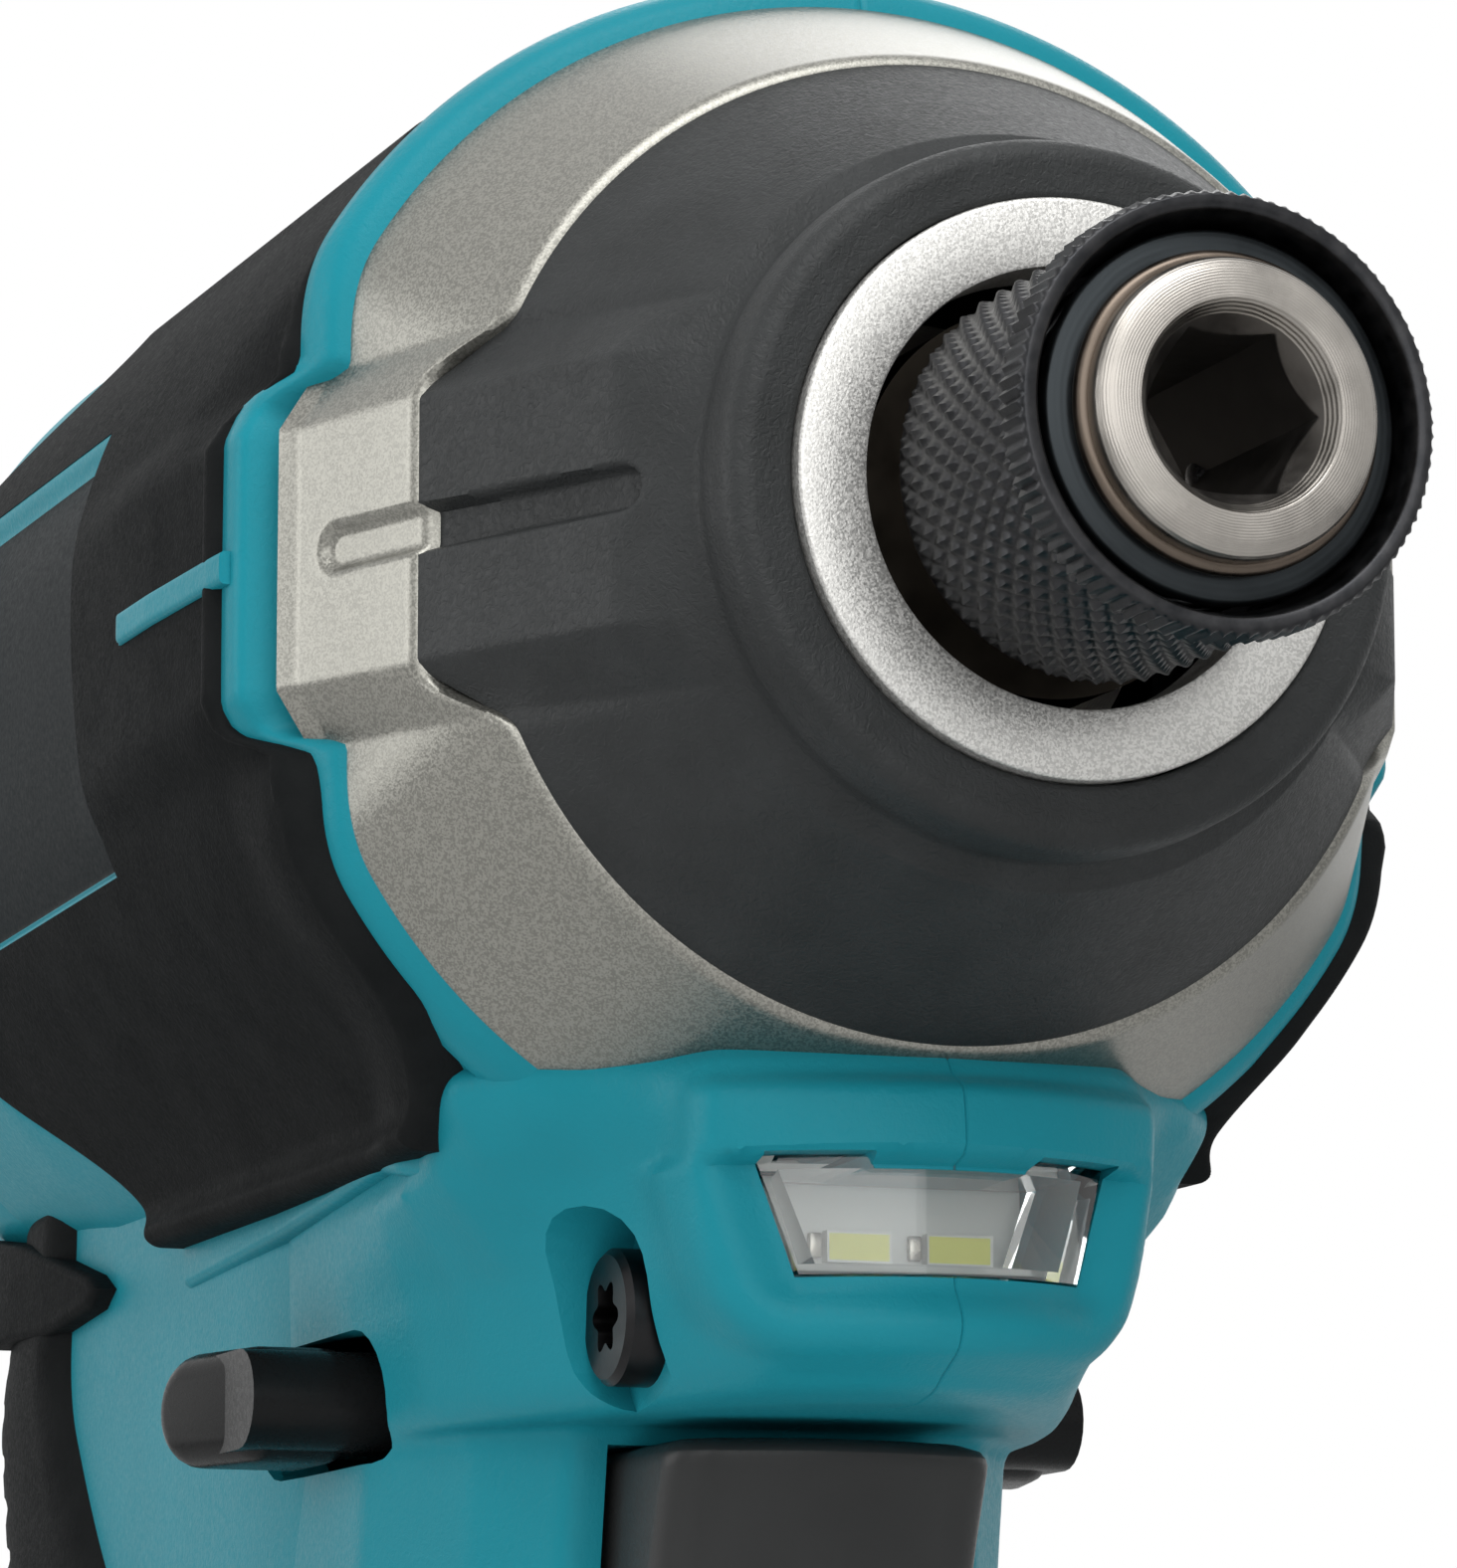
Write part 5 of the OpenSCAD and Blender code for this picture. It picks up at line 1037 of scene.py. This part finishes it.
# %% [markdown]
# ## Handle and foot
# The handle is a loft of rounded sections that swell and lean, and its foot flares out to the battery.
# At the top its back swells into a tang, under which the hand finds its place. Each section is a
# superellipse, a shape between an ellipse and a rectangle, so one formula gives both the soft grip and
# the square foot. The battery's slot, the trigger's well and the lever's slot are cut.

# %% Handle
# Each row: share of the height, depth, width, squareness, and where the rubber starts
GRIP_ROWS = [(0, 1.14, 1.12, 2.7, .44), (.06, 1.05, 1.07, 2.6, .44), (.14, 1, 1.035, 2.5, .42),
             (.3, .96, 1, 2.5, .42), (.5, .98, .985, 2.5, .44), (.62, 1.02, .985, 2.5, .47),
             (.74, 1.09, .985, 2.6, .495), (.87, 1.2, 1, 2.8, .53), (1, 1.33, 1.03, 3, .57)]
FLARE = [(0, 0), (.48, 0), (.55, .015), (.62, .07), (.72, .25), (.82, .55), (.92, .85), (1, 1)]
# Front, rear, half width and squareness of the foot
FOOT = (44.0, -53.0, 38.2, 7.0)
FOOT_Z, GRIP_Z, GRIP_H, HANDLE_TOP = 46.9, 92.0, 96.0, 188
HALF_DEEP, HALF_WIDE = 21, 16.25
# The tang: how far it stands out and comes back, each with the heights between which it does
TANG_OUT, TANG_RISE = 25, (128, 167)
TANG_BACK, TANG_FALL = 8, (176, 190)
# Room for the battery's top, rails and contacts: two corners above the stand for each cut
BATTERY_ROOM = [((-44.5, -26.35, 44), (46, 26.35, 60.5)), ((-44.5, -30.35, 54.8), (46.5, 30.35, 60.5)),
                ((-36.35, -23.35, 58.5), (-13.65, 23.35, 67.85))]
TO_NOSE = Vector((-NOSE_X, 0, -NOSE_Z))


def smooth_along(points, x):
    """A smooth curve through (x, height) points, at x."""
    i = min(len(points) - 2, sum(1 for p in points[1:-1] if p[0] <= x))
    (x0, y0), (x1, y1) = points[i], points[i + 1]
    before, after = points[max(0, i - 1)], points[min(len(points) - 1, i + 2)]
    rise0 = (y1 - before[1]) / (x1 - before[0]) * (x1 - x0)
    rise1 = (after[1] - y0) / (after[0] - x0) * (x1 - x0)
    t = (x - x0) / (x1 - x0)
    return ((2 * t ** 3 - 3 * t * t + 1) * y0 + (t ** 3 - 2 * t * t + t) * rise0
            + (3 * t * t - 2 * t ** 3) * y1 + (t ** 3 - t * t) * rise1)


def grip_values(share):
    return [smooth_along([(row[0], row[k]) for row in GRIP_ROWS], share) for k in range(1, 5)]


def handle_point(s, z, grow=0.0):
    """A point of the handle at a height above the stand, s once round from the front."""
    share = max(0.0, (z - GRIP_Z) / GRIP_H)
    deep, wide, square = grip_values(share)[:3]
    mid = -16 + 2.5 * share
    tang = TANG_OUT * ease(*TANG_RISE, z) - TANG_BACK * ease(*TANG_FALL, z)
    section = (mid + HALF_DEEP * deep, mid - HALF_DEEP * deep - tang, HALF_WIDE * wide, square + 0.09 * tang)
    if z < GRIP_Z:
        change = smooth_along(FLARE, (z - FOOT_Z) / (GRIP_Z - FOOT_Z))
        section = [f + (g - f) * change for f, g in zip(FOOT, section)]
    front, rear, half, square = section
    c, d = math.cos(2 * math.pi * s), math.sin(2 * math.pi * s)
    x = (front + rear) / 2 + math.copysign(abs(c) ** (2 / square), c) * ((front - rear) / 2 + grow)
    y = math.copysign(abs(d) ** (2 / square), d) * (half + grow)
    return Vector((x, y, z)) + TO_NOSE


def screw_recess(u, z, seat):
    return prism(slot_outline((u, z + 0.01), (u, z - 0.01), 3.5, 16), -seat, -45, "y")


def handle_piece():
    def place(s, t):
        z = FOOT_Z + (HANDLE_TOP - FOOT_Z) * t
        return handle_point(s, z, -0.7 * (1 - ease(0, 1.6, z - FOOT_Z)))

    bm = moulded(176, 120, place)
    bmesh.ops.remove_doubles(bm, verts=bm.verts, dist=1e-3)
    bm = capped(bm)
    for low, high in BATTERY_ROOM:
        bm = cut(bm, box(Vector(low) + TO_NOSE, Vector(high) + TO_NOSE))
    bm = openings(bm)
    for spot in SCREWS[2:]:
        bm = cut(bm, screw_recess(*spot))
    return piece(parting_line(bm), "handle_moulded", "housing", HALVES, "teal_plastic", TEAL, sharp=38)


handle_piece()

# %% [markdown]
# ## Grip rubber
# Soft rubber wraps the sides and back of the handle. It is the same loft, a little larger, from one front
# edge round the back to the other; fine ribs cross its back, where the palm presses.

# %% Grip
GRIP_GIRTH, GRIP_TALL = 118, 91.2
RIB_PITCH, RIB_DEEP = 2.6, 0.35
GRIP_MID = Vector((-71, 0, -75))


def grip_point(s, t):
    share = 0.06 + 0.95 * t
    start = grip_values(share)[3] / 2
    around = start + (1 - 2 * start) * s
    inside = min((around - start) * GRIP_GIRTH, (1 - start - around) * GRIP_GIRTH, t * GRIP_TALL,
                 (1 - t) * GRIP_TALL)
    wave = max(0.0, math.cos(2 * math.pi * t * GRIP_TALL / RIB_PITCH)) ** 2
    ribs = RIB_DEEP * ease(7.0, 11.0, inside) * wave * ease(0.3, 0.36, around) * ease(0.7, 0.64, around)
    return handle_point(around, GRIP_Z + GRIP_H * share, 1.4 * rolled(inside, 1.3) - 0.2 - ribs)


def from_middle(face):
    c = face.calc_center_median()
    return abs(c.y) + abs(c.z - GRIP_MID.z)


def grip_piece():
    bm = outward(moulded(170, 230, grip_point))
    face = min(bm.faces, key=from_middle)
    if face.normal.dot(face.calc_center_median() - GRIP_MID) < 0:
        bmesh.ops.reverse_faces(bm, faces=bm.faces)
    bmesh.ops.solidify(bm, geom=bm.faces[:], thickness=0.8)
    for spot in SCREWS[2:4]:
        bm = cut(bm, screw_recess(*spot))
    return piece(bm, "grip_rubber", "housing", ["grip_right", "grip_left"], "black_rubber", SIDE_RUBBER_PAINTED_SHADE,
                 sharp=45)


grip_piece()

# %% [markdown]
# At its top the rubber sends a pointed finger forward under the side panel. It is a flat tongue, so an
# outline with rounded edges is enough.

# %% Grip fingers
FINGER = [(-112.0, -21.5), (-103.4, -22.6), (-90.5, -25.4), (-88.6, -26.3), (-90.5, -27.2), (-99.3, -27.9),
          (-106.6, -27.6), (-112.0, -27.6)]
FINGER_OUT = -17.75


def bevelled(bm, edges, width, segments):
    """Rounds the given edges."""
    bmesh.ops.bevel(bm, geom=edges, offset=width, offset_type="OFFSET", segments=segments, profile=0.5,
                    affect="EDGES", material=-1)
    return bm


def finger():
    tongue = prism(FINGER, FINGER_OUT, -14.0, "y")
    outer = [e for e in tongue.edges if max(v.co.y for v in e.verts) < FINGER_OUT + 0.05]
    return bevelled(tongue, outer, 0.5, 3)


pair(finger, "grip_finger", "grip", "black_rubber", SIDE_RUBBER_PAINTED_SHADE, 45)

# %% [markdown]
# ## Housing screws
# Six screws close the halves from the right. Each head is turned, and a six-lobed socket is cut into it.

# %% Screws
def screw(u, z, seat):
    bm = spun([(-8, 0), (-8, 1.6), (-2, 1.6), (-2, 3.05), (-0.3, 3.05), (0, 2.75), (0, 0)], 48)
    lobes = [(a, 1.42 + 0.27 * math.cos(6 * a)) for a in (math.pi * k / 36 for k in range(72))]
    bm = cut(bm, prism([(r * math.cos(a), r * math.sin(a)) for a, r in lobes], -1.5, 1.0, "x"))
    bmesh.ops.rotate(bm, cent=(0, 0, 0), matrix=Matrix.Rotation(-math.pi / 2, 3, "Z"), verts=bm.verts)
    bmesh.ops.translate(bm, vec=(u, -seat - 2, z), verts=bm.verts)
    return bm


piece(joined([screw(*spot) for spot in SCREWS]), "housing_screws_black", "housing", ["housing_screws"],
      "black_screw", BLACKENED, sharp=35)

# %% [markdown]
# ## Work lamp
# Two light chips sit on a white board behind a clear lens, each with a tinned pad beside it. The lens is a
# grid bent like the chin's front and drawn back to a smaller face, so its slanting sides mirror the board
# as the real one's do.

# %% Lamp
LENS_MID = -29.3
BOARD_FACE = -21.4
CHIPS, CHIP_HALF, CHIP_MID = [-1.6, 3.0], 1.5, -30.1


def lens_blank(front, rear, wide, tall):
    """The window's shape bent like the chin and drawn back to a smaller face."""
    def place(s, t):
        y = (2 * s - 1) * (6.5 + 1.65 * t) * wide
        return Vector((front - 4.2 * (y / 9.8) ** 2, y, LENS_MID + (5.15 * t - 2.6) * tall))

    bm = moulded(40, 8, place)
    skin = bmesh.ops.extrude_face_region(bm, geom=bm.faces[:])
    for v in new_points(skin):
        v.co = (rear, v.co.y * 0.8, LENS_MID + (v.co.z - LENS_MID) * 0.86)
    return outward(bm)


def lens_piece():
    bm = cut(lens_blank(-13.9, -20.2, 1.0, 1.0), lens_blank(-15.1, -21.0, 0.84, 0.8))
    return piece(bm, "lamp_lens_clear", "housing", ["lamp_lens"], "clear_lens", CLEAR, sharp=30)


def small_block(low, high, edge):
    """A block with softened edges."""
    bm = box(low, high)
    return bevelled(bm, bm.edges[:], edge, 2)


def chip(y):
    bm = box((BOARD_FACE, y - CHIP_HALF, -30.8), (-20.8, y + CHIP_HALF, -29.4))
    front = [f for f in bm.faces if f.normal.x > 0.9]
    bmesh.ops.inset_region(bm, faces=front, thickness=0.16, depth=-0.04)
    return bm


def is_phosphor(c):
    return c.x > -20.9 and min(abs(c.y - y) for y in CHIPS) < 0.4 and abs(c.z - CHIP_MID) < 0.2


lens_piece()
piece(small_block((-22.4, -6, -31.3), (BOARD_FACE, 6, -27.1), 0.12), "lamp_board_white", "housing",
      ["lamp_board"], "board_white", BOARD, sharp=30)
piece(joined([chip(y) for y in CHIPS]), "lamp_chips_pair", "housing", ["lamp_chips"], "lamp_yellow",
      CHIP_WHITE, sharp=30, second=PHOSPHOR, where=is_phosphor)
pads = [small_block((BOARD_FACE, y - 2.2, -30.6), (-21.0, y - 1.65, -29.5), 0.08) for y in CHIPS]
piece(joined(pads), "lamp_resistor", "housing", ["lamp_board"], "board_white", TINNED, sharp=30)

# %% [markdown]
# ## Trigger and reverse lever
# The trigger is a stack of level outlines: bowed across the finger, hollowed along it, with rolled edges.
# The lever is a bar that shows on both sides; its ends are slanted like the real one's.

# %% Trigger and lever
def stacked(levels):
    """A closed solid through closed outlines of equal count; each level is a height and its points."""
    count = len(levels[0][1])

    def place(s, t):
        z, outline = levels[round(t * (len(levels) - 1))]
        return Vector((*outline[round(s * count) % count], z))

    bm = moulded(count, len(levels) - 1, place)
    bmesh.ops.remove_doubles(bm, verts=bm.verts, dist=1e-4)
    return capped(bm)


def trigger_outline(front, inset):
    """Half of the outline bows across the finger; the other half mirrors it back to the start."""
    half, round_r, bow = 7.8 - inset, 1.9, 1.1
    nose = front - inset
    face = [(nose - bow * (k / 8) ** 2, (half - round_r) * k / 8) for k in range(9)]
    edge = corner((nose - bow - round_r, half - round_r), round_r, 8, 90, 7)
    side = [(nose - 8 - 3.2 * k, half) for k in range(4)] + [(-51 + inset, half)]
    path = face + edge + side
    return path + [(a, -b) for a, b in reversed(path[1:])]


def trigger_piece():
    top, tall, edge = -38.0, 25.4, 1.1
    shares = sorted([k / 40 for k in range(41)] + [0.3 * k / tall for k in (1, 2, 3)])
    levels = []
    for t in shares:
        inset = edge * (1 - rolled(min(t, 1 - t) * tall, edge))
        levels.append((top - tall * t, trigger_outline(-26.0 - 3.6 * math.sin(math.pi * t), inset)))
    return piece(stacked(levels), "trigger_moulded", "trigger", ["trigger"], "black_plastic", BLACK, sharp=50)


def lever_piece():
    bar = prism(slot_outline((-50.9, -35.0), (-55.6, -35.0), 2.35, 12), -21.0, 21.0, "y")
    knobs = []
    for side in (-1, 1):
        knob = prism(slot_outline((-52.6, -35.1), (-57.2, -35.1), 2.75, 14), side * 15.2, side * 21.4, "y")
        ends = [e for e in knob.edges if abs(e.verts[0].co.y - e.verts[1].co.y) < 1e-3]
        knobs.append(bevelled(knob, ends, 1.25, 5))
        for v in knob.verts:
            if abs(v.co.y) > 18:
                v.co.y += side * 0.26 * (-54.8 - v.co.x)
    arm = small_block((-73, -4.5, -37.5), (-53.5, 4.5, -35.0), 0.4)
    pivot = spun([(0, 0), (0, 3.0), (2.5, 3.0), (2.5, 0)], 32)
    bmesh.ops.rotate(pivot, cent=(0, 0, 0), matrix=Matrix.Rotation(-math.pi / 2, 3, "Y"), verts=pivot.verts)
    bmesh.ops.translate(pivot, vec=(-73, 0, -37.5), verts=pivot.verts)
    return piece(joined([bar, arm, pivot] + knobs), "reverse_lever_moulded", "lever", ["reverse_lever"],
                 "black_plastic", LEVER_BLACK, sharp=50)


trigger_piece()
lever_piece()

# %% [markdown]
# ## Rear cover, battery and their screws
# Where the CAD solid already has the right shape, a copy is enough: its loose triangles are merged, flat
# faces are joined, and a small bevel breaks the edges as a mould does.

# %% Softened copies of CAD nodes
def merged_copy(node):
    """A copy of a CAD node's mesh, its loose triangles merged."""
    bm = bmesh.new()
    bm.from_mesh(nodes[node].data)
    bmesh.ops.remove_doubles(bm, verts=bm.verts, dist=1e-6)
    return bm


def softened(node, width):
    bm = merged_copy(node)
    bmesh.ops.dissolve_limit(bm, angle_limit=math.radians(1), verts=bm.verts, edges=bm.edges)
    return modified(bm, "BEVEL", width=width * MM, segments=3, limit_method="ANGLE",
                    angle_limit=math.radians(38), use_clamp_overlap=True)


for node, name, body, slot, finish, width in (
        ("rear_cover", "rear_cover_moulded", "housing", "teal_plastic", TEAL, 0.4),
        ("rear_cover_screws", "rear_cover_screws_black", "housing", "black_screw", BLACKENED, 0.2),
        ("battery_lower_case", "battery_tray", "battery", "black_plastic", BLACK, 0.6),
        ("battery_upper_case", "battery_top", "battery", "black_plastic", BLACK, 0.5),
        ("battery_screws", "battery_screws_black", "battery", "black_screw", BLACKENED, 0.2),
        ("release_button", "release_button_ribbed", "button", "button_grey", BUTTON, 0.35)):
    piece(softened(node, width), name, body, [node], slot, finish, place=Matrix(), sharp=32)

# %% [markdown]
# ## Springs
# Three coil springs push the hammer, the sleeve and the trigger back. Each is a copy of its CAD coil with
# one subdivision to round the wire.

# %% Springs
SPRING = steel_finish("spring_steel", (0.16, 0.165, 0.17), 0.34)


def pressed_spring(node, body):
    bm = modified(merged_copy(node), "SUBSURF", levels=1, render_levels=1)
    coil = piece(bm, node + "_coil", body, [node], "spring_steel", SPRING, place=Matrix(), sharp=70)
    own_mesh(coil)


pressed_spring("hammer_spring", "hammer")
pressed_spring("sleeve_spring", "sleeve")
pressed_spring("trigger_spring", "trigger")

# %% [markdown]
# ## Finishes for the inner parts
# The pieces inside stay as CAD nodes. They show at the slots and in the other poses, so each gets the
# finish of its own metal or plastic: gear steel, copper, carbon, bronze and the rest.

# %% Inner parts
INNER = {
    "anvil_bush": steel_finish("oiled_bush", (0.035, 0.03, 0.024), 0.45),
    "ring_gear": steel_finish("gear_steel", (0.3, 0.31, 0.32), 0.38),
    "gear_plate": moulding_finish("plate_plastic", (0.1, 0.105, 0.11), (0.13, 0.135, 0.14), 0.5, 0.02),
    "spindle_bearing": steel_finish("bearing_steel", (0.55, 0.56, 0.57), 0.22),
    "yoke": steel_finish("motor_can", (0.2, 0.21, 0.22), 0.42),
    "magnets": steel_finish("magnet_grey", (0.045, 0.048, 0.052), 0.6),
    "windings": steel_finish("enamelled_copper", (0.42, 0.13, 0.05), 0.32),
    "commutator": steel_finish("copper_bars", (0.55, 0.25, 0.12), 0.3),
    "carbon_brushes": moulding_finish("carbon", (0.018, 0.018, 0.018), (0.03, 0.03, 0.03), 0.7, 0.02),
    "hammer": steel_finish("hardened_steel", (0.1, 0.105, 0.11), 0.4),
    "terminal_blades": steel_finish("contact_brass", (0.56, 0.4, 0.14), 0.3),
    "lead_wires": moulding_finish("red_lead", (0.34, 0.02, 0.02), (0.42, 0.03, 0.03), 0.4, 0.01),
    "battery_cells": moulding_finish("cell_wrap", (0.04, 0.14, 0.3), (0.05, 0.17, 0.35), 0.35, 0.01),
    "switch_body": BLACK,
}
LIKE = {
    "spindle_bearing": ["motor_front_bearing", "motor_rear_bearing", "cam_balls", "detent_balls",
                        "planet_pins"],
    "ring_gear": ["planet_gear_upper", "planet_gear_lower", "spindle", "armature_shaft"],
    "yoke": ["armature_core"],
    "switch_body": ["brush_holder", "fan", "terminal_block", "trigger_plunger"],
    "terminal_blades": ["battery_terminals"],
}
for node, finish in INNER.items():
    for name in [node] + LIKE.get(node, []):
        mesh = nodes[name].data
        mesh.materials.clear()
        mesh.materials.append(finish)
print(len(INNER), "inner finishes")

# %% [markdown]
# ## Light and floor
# A plain pale floor and four soft lamps: the key above and in front, a broad fill from the front, one at
# the tool's right and a weak one behind, which outlines the back. The camera, metal and glass see a white
# surrounding, but it lights the object at a plain level only; the Light Path node tells these rays apart.

# %% Stage
HEAD_MID = Vector((0.03, 0.0, 0.2))
WORLD_LIGHT = 0.26


def stage():
    bm = bmesh.new()
    bmesh.ops.create_grid(bm, x_segments=1, y_segments=1, size=3.0)
    mesh = bpy.data.meshes.new("floor")
    bm.to_mesh(mesh)
    bm.free()
    floor = placed("floor", mesh)
    mesh.materials.append(finish_base("pale_floor", (0.8, 0.8, 0.8), 0.7)[0])


def lamp(name, place, size, power):
    made = placed(name, bpy.data.lights.new(name, "AREA"))
    made.data.shape = "RECTANGLE"
    made.data.size, made.data.size_y = size
    made.data.energy = power
    made.location = place
    made.rotation_euler = (HEAD_MID - Vector(place)).to_track_quat("-Z", "Y").to_euler()


def either(tree, a, b):
    """1 where one of two values is 1."""
    node = add(tree, "ShaderNodeMath", Value=a)
    node.operation = "MAXIMUM"
    tree.links.new(b, node.inputs[1])
    return node.outputs[0]


stage()
lamp("key", (0.45, -0.1, 0.95), (0.7, 0.5), 6.0)
lamp("fill", (0.85, -0.3, 0.4), (1.0, 0.7), 3.9)
lamp("side", (-0.25, -0.85, 0.38), (0.5, 0.5), 2.1)
lamp("rim", (-0.6, 0.35, 0.8), (0.5, 0.5), 1.5)

world = bpy.data.worlds.new("studio")
bpy.context.scene.world = world
world.use_nodes = True
sky = world.node_tree
ray = sky.nodes.new("ShaderNodeLightPath").outputs
mirrored = either(sky, ray["Is Camera Ray"], ray["Is Glossy Ray"])
shows = either(sky, mirrored, ray["Is Transmission Ray"])
level = add(sky, "ShaderNodeMapRange", Value=shows, To_Min=WORLD_LIGHT, To_Max=1.0)
sky.links.new(level.outputs["Result"], sky.nodes["Background"].inputs["Strength"])
sky.nodes["Background"].inputs["Color"].default_value = (1, 1, 1, 1)
bpy.context.scene.view_settings.view_transform = "Standard"
print("stage set")
